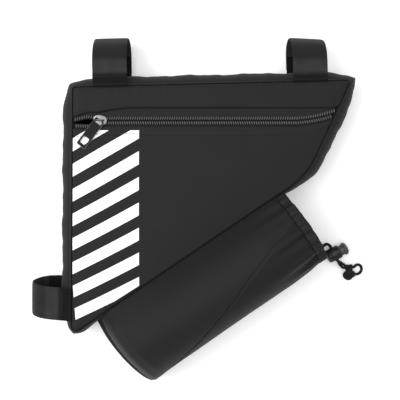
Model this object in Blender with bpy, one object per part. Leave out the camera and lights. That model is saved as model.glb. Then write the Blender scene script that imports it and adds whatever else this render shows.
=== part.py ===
"""A soft bicycle frame bag with a bottle pocket along its long edge, lying on its back.

Metres, +Z up. +X runs with the top tube, +Y points to the top tube, and +Z comes out of the front panel.
"""

import functools
import math

import bmesh
import bpy
from mathutils import Matrix, Vector

MM = 0.001
GAP = 0.3 * MM  # between two pieces that meet
UP = Vector((0, 0, 1))

# The body's front seam: four edges, named for the frame tubes beside them
TOP_LENGTH = 288.6 * MM
TOP_RISE = math.radians(1.4)
SEAT_LENGTH = 257 * MM
SEAT_LEAN = math.radians(0.3)
HEAD_LENGTH = 110 * MM
HEAD_LEAN = math.radians(24.9)
TOP_LEFT = Vector((-132 * MM, 117 * MM))
CORNER_RADIUS = {"top_left": 3 * MM, "tip": 5 * MM, "junction": 80 * MM, "top_right": 2.5 * MM}

# The body's cloth walls
BODY_DEPTH = 48 * MM
WALL = 2 * MM
STRIP_JOIN = 0.8 * MM  # between the ends of two gusset strips
FRONT_CROWN = 3.5 * MM
UPPER_CROWN = 1.2 * MM
BULGE = {"seat": 15 * MM, "down": 4 * MM, "head": 14 * MM, "top": 14 * MM}
CORNER_BULGE = {"top_left": 9 * MM, "tip": 7 * MM, "junction": 9 * MM, "top_right": 8.5 * MM}
# from each corner to the gusset's full bulge
BULGE_REACH = {"top_left": 22 * MM, "tip": 45 * MM, "junction": 45 * MM, "top_right": 22 * MM}
# 1 draws the gusset out to a sharp corner, 0 leaves it round
CORNER_SHARPNESS = {"top_left": 0.9, "tip": 0.4, "junction": 0.0, "top_right": 0.85}
SEAT_JOIN = 0.55  # share of the seat edge where its strip is pieced
# depth share from the back seam, bulge share
GUSSET_SECTION = [(0, 0.5), (0.12, 0.74), (0.3, 0.95), (0.52, 1), (0.72, 0.86), (0.88, 0.5), (1, 0)]

# The zip: two tapes, two rows of teeth and a slider
ZIP_DROP = 34.5 * MM  # from the top seam's left end down to the teeth
ZIP_ROW = 4.6 * MM
ZIP_ROW_HEIGHT = 2.2 * MM
ZIP_TAPE = 0.8 * MM
ZIP_TAPE_WIDTH = 19 * MM
ZIP_END_REACH = 42 * MM
ZIP_LEFT_DIP = 2.5 * MM
ZIP_RIGHT_RISE = 7 * MM
ZIP_SHOW = 7.6 * MM  # bare tape above the teeth
ZIP_OPEN_GAP = 5 * MM
ZIP_OPEN_REACH = 14 * MM
LIP_CLEARANCE = 0.5 * MM
SLIDER_PLACE = 29 * MM  # from the seat edge
SLIDER_LENGTH = 14 * MM
SLIDER_WIDTH = 11.5 * MM
SLIDER_PLATE = 1.3 * MM
POST_INSET = 0.4 * MM
POST_LENGTH = 2 * MM
POST_HALF = 0.35 * MM
BAIL_HALF = 3 * MM
BAIL_BAR = 1.4 * MM
EYE_BAR = 1.4 * MM
PULL_LENGTH = 33.5 * MM
PULL_WIDTH = 11 * MM
PULL_EYE_WIDTH = 7.2 * MM
PULL_EYE_LENGTH = 3.4 * MM
PULL_WINDOW = (7.6 * MM, 6.4 * MM)
PULL_END_BAR = 3.4 * MM
PULL_HEADING = math.radians(233)
PULL_DOME_SHARE = 0.45  # share of the front panel's crown under the pull's end

# The bottle pocket, sewn to the long edge
POCKET_WIDTH = 87.5 * MM
POCKET_DEPTH = 80 * MM
POCKET_LENGTH = 237 * MM
POCKET_START = 29 * MM  # from the tip's sharp corner along the long edge
POCKET_SLANT = 8 * MM  # the bottom's outer corner is nearer the mouth
HEM_WIDTH = 11 * MM
HEM_THICKNESS = 3.4 * MM
# width share, height share of the section, from the crease over the top and back under
POCKET_SECTION = [
    (0.1, 0.72),
    (0.22, 0.865),
    (0.36, 0.96),
    (0.52, 1),
    (0.68, 0.965),
    (0.83, 0.86),
    (0.945, 0.69),
    (1, 0.47),
    (0.975, 0.26),
    (0.9, 0.105),
    (0.78, 0.02),
    (0.64, 0),
    (0.4, 0),
    (0.16, 0),
]
# length share from the bottom, height share, width share, crease height share
POCKET_STATIONS = [
    (0, 0.5, 1.06, 0.6),
    (0.02, 0.68, 1.056, 0.78),
    (0.05, 0.83, 1.042, 0.93),
    (0.1, 0.93, 1.02, 1),
    (0.2, 0.99, 1.005, 1),
    (0.4, 1, 1, 1),
    (0.65, 1, 1, 1),
    (0.85, 0.98, 0.995, 1),
    (0.95, 0.95, 0.98, 1),
    (1, 0.93, 0.965, 1),
]
SECTION_STEPS = 60
POCKET_SEAM_GAP = 0.6 * MM
FOOT_GAP = 1.1 * MM
SEAM_AT_MOUTH = 0.16  # section share of the pocket's slanted seam at each end
SEAM_AT_BOTTOM = 0.5

# The straps, each a long piece from the front seam and a short one from the back seam
STRAP_THICKNESS = 2 * MM
TOP_STRAP_WIDTH = 36 * MM
LEFT_STRAP_REACH = 57 * MM
RIGHT_STRAP_REACH = 53 * MM
SEAT_STRAP_WIDTH = 34 * MM
SEAT_STRAP_REACH = 48.6 * MM
LEFT_STRAP_PLACE = 38.5 * MM  # from the top left corner along the top edge
RIGHT_STRAP_PLACE = 247 * MM
SEAT_STRAP_PLACE = 226 * MM
RIGHT_STRAP_DROP = 3 * MM
SEAT_STRAP_SKEW = 8 * MM
STRAP_END = 16 * MM  # the free end's distance from the back seam
STRAP_RAMP = 10 * MM
# reach share, depth share of the long piece
STRAP_PATH = [
    (0.2, 1),
    (0.42, 0.99),
    (0.62, 0.95),
    (0.8, 0.84),
    (0.94, 0.65),
    (1, 0.42),
    (0.975, 0.2),
    (0.9, 0.05),
]
STRAP_FLAT = 0.78  # reach share where the long piece comes to lie flat

# The cord lock and the drawcord's free ends
CORD = 2.8 * MM
LOCK_RADIUS = 7.5 * MM
LOCK_LENGTH = 15.5 * MM
LOCK_FLOOR = 3 * MM
LOCK_WALL = 1.3 * MM
LOCK_RIM = 1.2 * MM
LOCK_CLEARANCE = 0.4 * MM
LOCK_HEADING = math.radians(26.7)
PLUNGER_TRAVEL = 4 * MM
PLUNGER_SHOWS = 9.3 * MM
BUTTON_RADIUS = 7 * MM
CORD_HOLE_PLACE = 9 * MM
CORD_SPACING = 3.2 * MM
LOCK_START = (140.5 * MM, -63.5 * MM)
KNOT_PLACE = (165.3 * MM, -74.8 * MM)
KNOT_RADIUS = 4.8 * MM
BALL_PLACE = (164.6 * MM, -82.6 * MM)
BALL_RADIUS = 7 * MM
# the two free cords' points from the hem through the lock to the knot, in plan. The cords lie one over the
# other as far as the point at LOCK_EXIT, and side by side at the knot.
LOCK_EXIT = 9
CORD_ROUTE = [
    (130.8, -55.3),
    (133.8, -52.9),
    (137.2, -50.2),
    (140.2, -48.9),
    (142.8, -49.7),
    (144.6, -52.2),
    (146.2, -55.2),
    (148.4, -59.6),
    (150.4, -63.6),
    (152.4, -67.2),
    (154.8, -69.9),
    (157.6, -71.8),
    (160.2, -73.1),
]
# the small loop from the knot down to the floor and back to the ball
LOOP_ROUTE = [
    (171.2, -74.4, 4.4),
    (173.2, -72.8, 3.6),
    (175.8, -72.1, 2.6),
    (178.6, -72.9, 1.8),
    (180.3, -75.3, 1.4),
    (180.3, -78.4, 1.4),
    (178.4, -81.2, 1.8),
    (175.3, -82.6, 2.8),
    (172.6, -82.5, 4.2),
]

FREE_PIECES = ("drawcord", "cord_")

MATERIALS = {
    "cloth": ((0.035, 0.035, 0.036), 0.85, 0.0),
    "hem": ((0.03, 0.034, 0.031), 0.8, 0.0),
    "webbing": ((0.045, 0.045, 0.046), 0.9, 0.0),
    "zip_tape": ((0.02, 0.02, 0.02), 0.8, 0.0),
    "zip_teeth": ((0.03, 0.03, 0.03), 0.4, 0.0),
    "metal": ((0.6, 0.6, 0.6), 0.3, 1.0),
    "dark_metal": ((0.05, 0.05, 0.05), 0.35, 1.0),
    "plastic": ((0.02, 0.02, 0.02), 0.4, 0.0),
    "cord": ((0.025, 0.025, 0.025), 0.8, 0.0),
}


def clear_scene():
    for old in list(bpy.data.objects):
        bpy.data.objects.remove(old)


def material(name):
    found = bpy.data.materials.get(name)
    if found:
        return found
    colour, roughness, metallic = MATERIALS[name]
    made = bpy.data.materials.new(name)
    made.use_nodes = True
    shader = made.node_tree.nodes["Principled BSDF"]
    shader.inputs["Base Color"].default_value = (*colour, 1)
    shader.inputs["Roughness"].default_value = roughness
    shader.inputs["Metallic"].default_value = metallic
    made.diffuse_color = (*colour, 1)
    return made


def add_mesh(name, points, faces, finish, merge=0.0):
    """A mesh object. Points nearer than merge become one, so a grid may narrow to a point."""
    mesh = bpy.data.meshes.new(name)
    mesh.from_pydata([tuple(point) for point in points], [], faces)
    shape = bmesh.new()
    shape.from_mesh(mesh)
    if merge:
        bmesh.ops.remove_doubles(shape, verts=shape.verts, dist=merge)
    shape.to_mesh(mesh)
    shape.free()
    mesh.materials.append(material(finish))
    made = bpy.data.objects.new(name, mesh)
    bpy.context.scene.collection.objects.link(made)
    return made


def face_outward(made):
    shape = bmesh.new()
    shape.from_mesh(made.data)
    bmesh.ops.recalc_face_normals(shape, faces=shape.faces)
    shape.to_mesh(made.data)
    shape.free()


def cloth(name, rows, thickness, finish):
    """A wall of cloth whose outer face is the grid of rows, thickened to its inner side."""
    across = len(rows[0])
    points = [point for row in rows for point in row]
    faces = [
        (i * across + j, i * across + j + 1, (i + 1) * across + j + 1, (i + 1) * across + j)
        for i in range(len(rows) - 1)
        for j in range(across - 1)
    ]
    made = add_mesh(name, points, faces, finish, merge=1e-6)
    made.data.shade_smooth()
    thicken = made.modifiers.new("thickness", "SOLIDIFY")
    thicken.thickness = thickness
    thicken.offset = -1
    return made


def closed_wall(name, outer, inner, finish):
    """A closed piece between two grids, each a list of rows of points."""
    across = len(outer[0])
    count = len(outer) * across
    last_column = [k * across - 1 for k in range(2, len(outer))]
    last_row = range(count - 1, count - across - 1, -1)
    first_column = [k * across for k in range(len(outer) - 2, 0, -1)]
    border = [*range(across), *last_column, *last_row, *first_column]
    faces = []
    for i in range(len(outer) - 1):
        for j in range(across - 1):
            quad = (i * across + j, i * across + j + 1, (i + 1) * across + j + 1, (i + 1) * across + j)
            faces.append(quad)
            faces.append(tuple(count + corner for corner in reversed(quad)))
    for here, following in zip(border, [*border[1:], border[0]]):
        faces.append((here, count + here, count + following, following))
    made = add_mesh(name, [point for row in outer + inner for point in row], faces, finish)
    face_outward(made)
    made.data.shade_smooth()
    return made


def block(name, lowest, highest, finish):
    """A box between two corners."""
    xs, ys, zs = zip(lowest, highest)
    corners = [(x, y, z) for x in xs for y in ys for z in zs]
    faces = [(0, 1, 3, 2), (4, 6, 7, 5), (0, 4, 5, 1), (2, 3, 7, 6), (0, 2, 6, 4), (1, 5, 7, 3)]
    return add_mesh(name, corners, faces, finish)


def turned(name, profile, steps, finish):
    """A solid turned about +X from (along, radius) points, whose first and last lie on the axis."""
    points = [(profile[0][0], 0, 0)]
    for along, radius in profile[1:-1]:
        for k in range(steps):
            angle = 2 * math.pi * (k + 0.5) / steps
            points.append((along, radius * math.sin(angle), radius * math.cos(angle)))
    points.append((profile[-1][0], 0, 0))
    faces = []
    for k in range(steps):
        following = (k + 1) % steps
        faces.append((0, 1 + following, 1 + k))
        for ring in range(len(profile) - 3):
            start = 1 + ring * steps
            faces.append((start + k, start + following, start + steps + following, start + steps + k))
        last = 1 + (len(profile) - 3) * steps
        faces.append((last + k, last + following, len(points) - 1))
    made = add_mesh(name, points, faces, finish)
    face_outward(made)
    return made


def combine(made, other, operation):
    """Cuts or joins other, which stays as a hidden guide."""
    other.hide_render = True
    other.display_type = "WIRE"
    change = made.modifiers.new(other.name, "BOOLEAN")
    change.operation = operation
    change.object = other


def lengths_along(points):
    reached = [0.0]
    for before, after in zip(points, points[1:]):
        reached.append(reached[-1] + (Vector(after) - Vector(before)).length)
    return reached


def resample(points, count):
    """Count points at equal steps along a run of points."""
    reached = lengths_along(points)
    found = []
    for k in range(count):
        want = reached[-1] * k / (count - 1)
        i = 0
        while i < len(points) - 2 and reached[i + 1] < want:
            i += 1
        span = max(reached[i + 1] - reached[i], 1e-9)
        found.append(Vector(points[i]).lerp(Vector(points[i + 1]), (want - reached[i]) / span))
    return found


def smooth_run(points, per_span=4):
    """A smooth curve through the points."""
    points = [Vector(point) for point in points]
    ends = [points[0] * 2 - points[1], *points, points[-1] * 2 - points[-2]]
    found = []
    for a, b, c, d in zip(ends, ends[1:], ends[2:], ends[3:]):
        for k in range(per_span):
            t = k / per_span
            bend = (a * 2 - b * 5 + c * 4 - d) * t**2
            twist = (b * 3 - a - c * 3 + d) * t**3
            found.append((b * 2 + (c - a) * t + bend + twist) / 2)
    return [*found, points[-1]]


def table_at(table, share):
    """The other columns of a table, read between its rows where the first column has this value."""
    share = min(max(share, table[0][0]), table[-1][0])
    for low, high in zip(table, table[1:]):
        if share <= high[0]:
            part = (share - low[0]) / (high[0] - low[0])
            return [a + (b - a) * part for a, b in zip(low[1:], high[1:])]
    return list(table[-1][1:])


def eased(share):
    share = min(max(share, 0.0), 1.0)
    return share * share * (3 - 2 * share)


def heading(angle):
    return Vector((math.cos(angle), math.sin(angle)))


def outward_of(direction):
    return Vector((direction.y, -direction.x))


def body_corners():
    """The seam's sharp corners, anticlockwise from the top left."""
    top_right = TOP_LEFT + heading(TOP_RISE) * TOP_LENGTH
    return {
        "top_left": TOP_LEFT,
        "tip": TOP_LEFT + heading(math.radians(-90) - SEAT_LEAN) * SEAT_LENGTH,
        "junction": top_right + heading(math.radians(-90) - HEAD_LEAN) * HEAD_LENGTH,
        "top_right": top_right,
    }


SIDES = {
    "seat": ("top_left", "tip"),
    "down": ("tip", "junction"),
    "head": ("junction", "top_right"),
    "top": ("top_right", "top_left"),
}


def corner_arc(name):
    """A rounded corner's centre and the headings before and after it."""
    names = list(CORNER_RADIUS)
    spot = names.index(name)
    corners = body_corners()
    corner = corners[name]
    arriving = (corner - corners[names[spot - 1]]).normalized()
    leaving = (corners[names[(spot + 1) % len(names)]] - corner).normalized()
    turn = math.atan2(arriving.cross(leaving), arriving.dot(leaving))
    radius = CORNER_RADIUS[name]
    start = corner - arriving * radius * math.tan(turn / 2)
    return start - outward_of(arriving) * radius, math.atan2(arriving.y, arriving.x), turn


def side_run(side, straight_steps=12, arc_steps=3):
    """(point, outward, bulge) along one side, from the middle of one corner's arc to the next."""
    first, last = SIDES[side]
    stations = []
    for name, begin, end in ((first, 0.5, 1.0), (last, 0.0, 0.5)):
        centre, angle, turn = corner_arc(name)
        for k in range(arc_steps + 1):
            part = begin + (end - begin) * k / arc_steps
            outward = outward_of(heading(angle + turn * part))
            off = turn * (1 - part if name == first else part)
            drawn_out = (1 / math.cos(off)) ** CORNER_SHARPNESS[name]
            stations.append((centre + outward * CORNER_RADIUS[name], outward, drawn_out))
        if name == first:
            start, outward, _ = stations[-1]
            far_centre, far_angle, _ = corner_arc(last)
            goal = far_centre + outward_of(heading(far_angle)) * CORNER_RADIUS[last]
            steps = range(1, straight_steps)
            stations += [(start.lerp(goal, k / straight_steps), outward, 1.0) for k in steps]
    reached = lengths_along([point for point, _, _ in stations])
    run = []
    for (point, outward, drawn_out), along in zip(stations, reached):
        near_first = 1 - eased(along / BULGE_REACH[first])
        near_last = 1 - eased((reached[-1] - along) / BULGE_REACH[last])
        full = BULGE[side]
        bulge = full + (CORNER_BULGE[first] - full) * near_first + (CORNER_BULGE[last] - full) * near_last
        run.append((point, outward, bulge * drawn_out))
    return run


def seam_loop():
    """The whole front seam, anticlockwise from the top left corner."""
    return [station for side in SIDES for station in side_run(side)[:-1]]


def gusset_rows(run, inset=0.0):
    """A strip of gusset from the back seam up to the front seam, its outer face or one inset from it."""
    low = WALL + GAP
    high = BODY_DEPTH - WALL - GAP
    rows = []
    for depth, share in GUSSET_SECTION:
        row = []
        for point, outward, bulge in run:
            spot = point + outward * (bulge * share - inset)
            row.append(Vector((spot.x, spot.y, low + (high - low) * depth)))
        rows.append(row)
    return rows


def shortened(run, start, end):
    """The run with its two ends moved in."""
    first = run[0][0] + (run[1][0] - run[0][0]).normalized() * start
    last = run[-1][0] + (run[-2][0] - run[-1][0]).normalized() * end
    return [(first, *run[0][1:]), *run[1:-1], (last, *run[-1][1:])]


def make_gussets():
    half = STRIP_JOIN / 2
    runs = {side: side_run(side) for side in ("down", "head", "top")}
    seat = side_run("seat")
    middle = round(len(seat) * SEAT_JOIN)
    runs["seat_upper"] = seat[: middle + 1]
    runs["seat_lower"] = seat[middle:]
    for name, run in runs.items():
        run = shortened(run, half, half)
        closed_wall(f"gusset_{name}", gusset_rows(run), gusset_rows(run, WALL), "cloth")


def make_back_panel():
    share = GUSSET_SECTION[0][1]
    edge = [point + outward * bulge * share for point, outward, bulge in seam_loop()]
    count = len(edge)
    points = [(spot.x, spot.y, z) for z in (0, WALL) for spot in edge]
    faces = [tuple(reversed(range(count))), tuple(range(count, 2 * count))]
    faces += [(k, (k + 1) % count, count + (k + 1) % count, count + k) for k in range(count)]
    add_mesh("back_panel", points, faces, "cloth")


def ends_at(height):
    """The seam's left and right X at a height."""
    corners = body_corners()
    ends = []
    for first, last in (("top_left", "tip"), ("top_right", "junction")):
        a, b = corners[first], corners[last]
        ends.append(a.x + (b.x - a.x) * (height - a.y) / (b.y - a.y))
    return ends


def zip_ends():
    return ends_at(TOP_LEFT.y - ZIP_DROP)


def zip_centre(x):
    left, right = zip_ends()
    dip = max(0.0, 1 - (x - left) / ZIP_END_REACH)
    rise = max(0.0, 1 - (right - x) / ZIP_END_REACH)
    return TOP_LEFT.y - ZIP_DROP - ZIP_LEFT_DIP * dip**2 + ZIP_RIGHT_RISE * rise**2


def slider_x():
    return zip_ends()[0] + SLIDER_PLACE


def zip_spread(x):
    """How far the two rows have parted at x."""
    return GAP + ZIP_OPEN_GAP * eased((slider_x() - x) / ZIP_OPEN_REACH)


def row_edge(x):
    """The distance from the zip's centre to the outer edge of a row."""
    return zip_spread(x) / 2 + ZIP_ROW


def lower_lip(x):
    return zip_centre(x) - row_edge(x) - LIP_CLEARANCE


def upper_lip(x):
    left, right = zip_ends()
    open_share = eased(min(x - left, right - x) / (1.5 * ZIP_END_REACH))
    return zip_centre(x) + row_edge(x) + LIP_CLEARANCE + ZIP_SHOW * open_share


def split_seam(lip):
    """The seam's points above and below a lip line, both from left to right and ending at the crossings."""
    loop = [point for point, _, _ in seam_loop()]
    loop.append(loop[0])
    runs = [[]]
    for before, after in zip(loop, loop[1:]):
        runs[-1].append(before)
        over_before = before.y - lip(before.x)
        over_after = after.y - lip(after.x)
        if over_before * over_after < 0:
            crossing = before.lerp(after, over_before / (over_before - over_after))
            runs[-1].append(crossing)
            runs.append([crossing])
    left_side, below, right_side = runs
    return [*reversed(left_side), *reversed(right_side)], below


def panel(name, lower, upper, crown, rows_count=5, count=37):
    """A front panel between two runs of points that meet at both ends, domed by crown."""
    lower = resample(lower, count)
    upper = resample(upper, count)
    rows = []
    for i in range(rows_count):
        share = i / (rows_count - 1)
        row = []
        for j, (low, high) in enumerate(zip(lower, upper)):
            spot = low.lerp(high, share)
            dome = crown * 4 * share * (1 - share) * math.sin(math.pi * j / (count - 1)) ** 0.7
            row.append(Vector((spot.x, spot.y, BODY_DEPTH + dome)))
        rows.append(row)
    return cloth(name, rows, WALL, "cloth")


def lip_run(lip, left, right, count=30):
    """The points of a lip line between two crossings."""
    xs = [left.x + (right.x - left.x) * k / count for k in range(1, count)]
    return [left, *[Vector((x, lip(x))) for x in xs], right]


def make_front():
    _, below = split_seam(lower_lip)
    panel("front_panel", below, lip_run(lower_lip, below[0], below[-1]), FRONT_CROWN)
    above, _ = split_seam(upper_lip)
    panel("front_upper_panel", lip_run(upper_lip, above[0], above[-1]), above, UPPER_CROWN)


def zip_strip(name, inner, outer, low, height, finish, count=30):
    """A flat strip along the zip between two offsets from its centre, both functions of x."""
    rows = []
    inset = WALL + 5 * GAP
    for edge in (inner, outer):
        left, right = zip_ends()
        left = ends_at(zip_centre(left) + edge(left))[0] + inset
        right = ends_at(zip_centre(right) + edge(right))[1] - inset
        row = []
        for k in range(count + 1):
            x = left + (right - left) * k / count
            row.append(Vector((x, zip_centre(x) + edge(x), low + height)))
        rows.append(row)
    if rows[1][0].y < rows[0][0].y:
        rows.reverse()
    return cloth(name, rows, height, finish)


def make_zip():
    tape_low = BODY_DEPTH - WALL - GAP - ZIP_TAPE
    teeth_low = tape_low + ZIP_TAPE + GAP
    for name, side in (("upper", 1), ("lower", -1)):
        zip_strip(
            f"zip_tape_{name}",
            lambda x, side=side: side * zip_spread(x) / 2,
            lambda x, side=side: side * (zip_spread(x) / 2 + ZIP_TAPE_WIDTH),
            tape_low,
            ZIP_TAPE,
            "zip_tape",
        )
        zip_strip(
            f"zip_teeth_{name}",
            lambda x, side=side: side * zip_spread(x) / 2,
            lambda x, side=side: side * row_edge(x),
            teeth_low,
            ZIP_ROW_HEIGHT,
            "zip_teeth",
        )
    return tape_low, teeth_low + ZIP_ROW_HEIGHT


def make_slider(tape_low, teeth_top):
    """The slider's two plates, the post between the parted rows and the bail over the top plate."""
    x = slider_x()
    y = zip_centre(x)
    half_length = SLIDER_LENGTH / 2
    half_width = SLIDER_WIDTH / 2
    plate_low = teeth_top + GAP
    plate_top = plate_low + SLIDER_PLATE
    under_top = tape_low - GAP
    slider = block(
        "zip_slider",
        (x - half_length, y - half_width, plate_low),
        (x + half_length, y + half_width, plate_top),
        "metal",
    )
    post_far = x - half_length + POST_INSET
    under = block(
        "slider_under",
        (x - half_length, y - half_width, under_top - SLIDER_PLATE),
        (x + half_length, y + half_width, under_top),
        "metal",
    )
    post = block(
        "slider_post",
        (post_far, y - POST_HALF, under_top - SLIDER_PLATE / 2),
        (post_far + POST_LENGTH, y + POST_HALF, plate_low + SLIDER_PLATE / 2),
        "metal",
    )
    eye_z = plate_top + GAP + EYE_BAR / 2
    bail_top = eye_z + EYE_BAR / 2 + GAP + BAIL_BAR
    arch = block(
        "slider_bail",
        (x - BAIL_HALF - BAIL_BAR / 2, y - BAIL_BAR / 2, plate_low + SLIDER_PLATE / 2),
        (x + BAIL_HALF + BAIL_BAR / 2, y + BAIL_BAR / 2, bail_top),
        "metal",
    )
    inside = block(
        "slider_bail_inside",
        (x - BAIL_HALF + BAIL_BAR / 2, y - BAIL_BAR, plate_low - SLIDER_PLATE),
        (x + BAIL_HALF - BAIL_BAR / 2, y + BAIL_BAR, bail_top - BAIL_BAR),
        "metal",
    )
    combine(arch, inside, "DIFFERENCE")
    for piece in (arch, post, under):
        combine(slider, piece, "UNION")
    return Vector((x, y, eye_z))


def make_pull(eye):
    """The pull tab, a plate with an eye and a window, lying from the bail down onto the front panel."""
    eye_far = EYE_BAR / 2 + PULL_EYE_LENGTH
    window_far = PULL_LENGTH - PULL_END_BAR
    window_near = window_far - PULL_WINDOW[0]
    along = [-EYE_BAR / 2, EYE_BAR / 2, eye_far, window_near, window_far, PULL_LENGTH]
    half = PULL_WIDTH / 2
    across = [-half, -PULL_EYE_WIDTH / 2, -PULL_WINDOW[1] / 2, PULL_WINDOW[1] / 2, PULL_EYE_WIDTH / 2, half]
    points = [(p, w, EYE_BAR / 2) for p in along for w in across]
    width = len(across)
    holes = {(1, 1), (1, 2), (1, 3), (3, 2)}
    faces = [
        (i * width + j, (i + 1) * width + j, (i + 1) * width + j + 1, i * width + j + 1)
        for i in range(len(along) - 1)
        for j in range(width - 1)
        if (i, j) not in holes
    ]
    made = add_mesh("zip_pull", points, faces, "dark_metal")
    thicken = made.modifiers.new("thickness", "SOLIDIFY")
    thicken.thickness = EYE_BAR
    thicken.offset = -1
    rests_at = BODY_DEPTH + FRONT_CROWN * PULL_DOME_SHARE + GAP + EYE_BAR / 2
    droop = math.asin((eye.z - rests_at) / PULL_LENGTH)
    turn = Matrix.Rotation(PULL_HEADING, 4, "Z") @ Matrix.Rotation(droop, 4, "Y")
    made.matrix_world = Matrix.Translation(eye) @ turn


def edge_frame():
    """The long edge's tip corner, its heading and its outward normal."""
    corners = body_corners()
    along = (corners["junction"] - corners["tip"]).normalized()
    return corners["tip"], along, outward_of(along)


def sewn_length():
    return POCKET_LENGTH - HEM_WIDTH


def pocket_distance(share):
    """The distance from the tip along the long edge at a share of the sewn length."""
    return POCKET_START + sewn_length() * share


def bulge_at(side, distance):
    """The gusset's bulge at a distance along a side from its first sharp corner."""
    first, last = (body_corners()[corner] for corner in SIDES[side])
    along = (last - first).normalized()
    table = [((point - first).dot(along), bulge) for point, _, bulge in side_run(side)]
    return table_at(table, distance)[0]


def pocket_section(station):
    """(n, z) of the section's outer face at a length share, from the crease round to the back seam."""
    tall, wide, crease = table_at(POCKET_STATIONS, station)
    bulge = bulge_at("down", pocket_distance(station))
    crease_z = BODY_DEPTH * crease
    depth = (crease_z - WALL) / (BODY_DEPTH - 2 * WALL)
    run = [Vector((bulge * table_at(GUSSET_SECTION, depth)[0] + GAP, crease_z))]
    run += [Vector((n * wide * POCKET_WIDTH, z * tall * POCKET_DEPTH)) for n, z in POCKET_SECTION]
    run.append(Vector((bulge * GUSSET_SECTION[0][1] + GAP, 0)))
    return [Vector((spot.x, max(spot.y, 0.0))) for spot in smooth_run(run)]


@functools.cache
def dense_section(share):
    return resample(pocket_section(share), SECTION_STEPS + 1)


def pocket_point(u, share):
    """A point of the pocket's outer face, u round the section from the crease and share along it."""
    tip, along, outward = edge_frame()
    place = min(max(u, 0.0), 1.0) * SECTION_STEPS
    low = min(int(place), SECTION_STEPS - 1)
    section = dense_section(share)
    spot = section[low].lerp(section[low + 1], place - low)
    slant = POCKET_SLANT * (spot.x / POCKET_WIDTH) ** 2 * max(0.0, 1 - share * 2)
    plan = tip + along * (pocket_distance(share) + slant) + outward * spot.x
    return Vector((plan.x, plan.y, spot.y))


def pocket_inner(u, share, thickness):
    """The inner face's point, straight below the outer one."""
    step = 0.012
    round_it = pocket_point(u + step, share) - pocket_point(u - step, share)
    along_it = pocket_point(u, share + step) - pocket_point(u, max(share - step, 0.0))
    return pocket_point(u, share) - round_it.cross(along_it).normalized() * thickness


def pocket_wall(name, shares, from_u, to_u, steps, thickness, finish):
    """A closed piece of the pocket's wall between two section shares, both functions of the length share."""
    outer = []
    inner = []
    for share in shares:
        first, last = from_u(share), to_u(share)
        places = [first + (last - first) * j / steps for j in range(steps + 1)]
        outer.append([pocket_point(u, share) for u in places])
        inner.append([pocket_inner(u, share, thickness) for u in places])
    return closed_wall(name, outer, inner, finish)


def pocket_seam(share):
    return SEAM_AT_BOTTOM + (SEAM_AT_MOUTH - SEAM_AT_BOTTOM) * share


def make_pocket():
    round_length = lengths_along(pocket_section(0.5))[-1]
    half_gap = POCKET_SEAM_GAP / 2 / round_length
    hem_start = (HEM_THICKNESS - WALL) / round_length
    shares = [(k / 14) ** 1.6 for k in range(15)]
    before_seam = lambda share: pocket_seam(share) - half_gap
    after_seam = lambda share: pocket_seam(share) + half_gap
    pocket_wall("pocket_front_panel", shares, lambda share: 0, before_seam, 8, WALL, "cloth")
    pocket_wall("pocket_side_panel", shares, after_seam, lambda share: 1, 16, WALL, "cloth")
    hem = [1 + GAP / sewn_length(), 1 + HEM_WIDTH / 2 / sewn_length(), 1 + HEM_WIDTH / sewn_length()]
    hem_end = 1 - hem_start
    pocket_wall("pocket_hem", hem, lambda share: hem_start, lambda share: hem_end, 24, HEM_THICKNESS, "hem")
    tip, along, outward = edge_frame()
    rim = [pocket_point(k / 32, 0) for k in range(33)]
    body_side = bulge_at("down", POCKET_START) + GAP
    for end in (0, -1):
        away = (rim[end].xy - tip).dot(outward)
        rim[end] = rim[end] + (outward * (body_side - away)).to_3d()
    turn_over = max(range(len(rim)), key=lambda k: (rim[k].xy - tip).dot(outward))
    over = resample(rim[: turn_over + 1], 12)
    under = resample(list(reversed(rim[turn_over:])), 12)
    back = (along * -(FOOT_GAP + WALL)).to_3d()
    rows = [[low.lerp(high, k / 4) + back for low, high in zip(under, over)] for k in range(5)]
    cloth("pocket_bottom", rows, WALL, "cloth")


def strap_rows(path, centre, away, width, drop=0.0, skew=0.0):
    """Rows across a strap whose path gives (distance from the seam, z). One edge reaches less far by drop."""
    across = UP.cross(away.to_3d())
    reach = max(distance for distance, _ in path)
    rows = []
    for k in range(5):
        share = k / 4 - 0.5
        row = []
        for j, (distance, z) in enumerate(path):
            shift = skew * j / (len(path) - 1)
            lost = drop * (0.5 - share) * (distance / reach) ** 2
            spot = (centre + away * (distance - lost)).to_3d() + across * (width * share + shift)
            row.append(Vector((spot.x, spot.y, z)))
        rows.append(row)
    return rows


def make_strap(name, side, place, width, reach, drop=0.0, skew=0.0):
    first, last = (body_corners()[corner] for corner in SIDES[side])
    along = (last - first).normalized()
    away = outward_of(along)
    centre = first + along * place
    spots = [place - width / 2 - abs(skew), place, place + width / 2 + abs(skew)]
    back_edge = max(bulge_at(side, spot) for spot in spots) * GUSSET_SECTION[0][1]
    out = [(GAP, BODY_DEPTH), *[(n * reach, z * BODY_DEPTH) for n, z in STRAP_PATH], (STRAP_FLAT * reach, 0)]
    path = [(spot.x, max(spot.y, 0.0)) for spot in smooth_run(out, 3)]
    path += [(spot.x, 0.0) for spot in resample([(STRAP_FLAT * reach, 0), (back_edge + STRAP_END, 0)], 4)[1:]]
    cloth(f"{name}_long", strap_rows(path, centre, away, width, drop, skew), STRAP_THICKNESS, "webbing")
    lifted = STRAP_THICKNESS + GAP
    short = [
        ((STRAP_FLAT - 0.06) * reach, lifted),
        (back_edge + STRAP_END, lifted),
        (back_edge + STRAP_RAMP, lifted),
        (back_edge + STRAP_RAMP * 0.4, 0),
        (back_edge + GAP, 0),
    ]
    shift = UP.cross(away.to_3d()).xy * skew
    cloth(f"{name}_short", strap_rows(short, centre + shift, away, width), STRAP_THICKNESS, "webbing")


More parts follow.
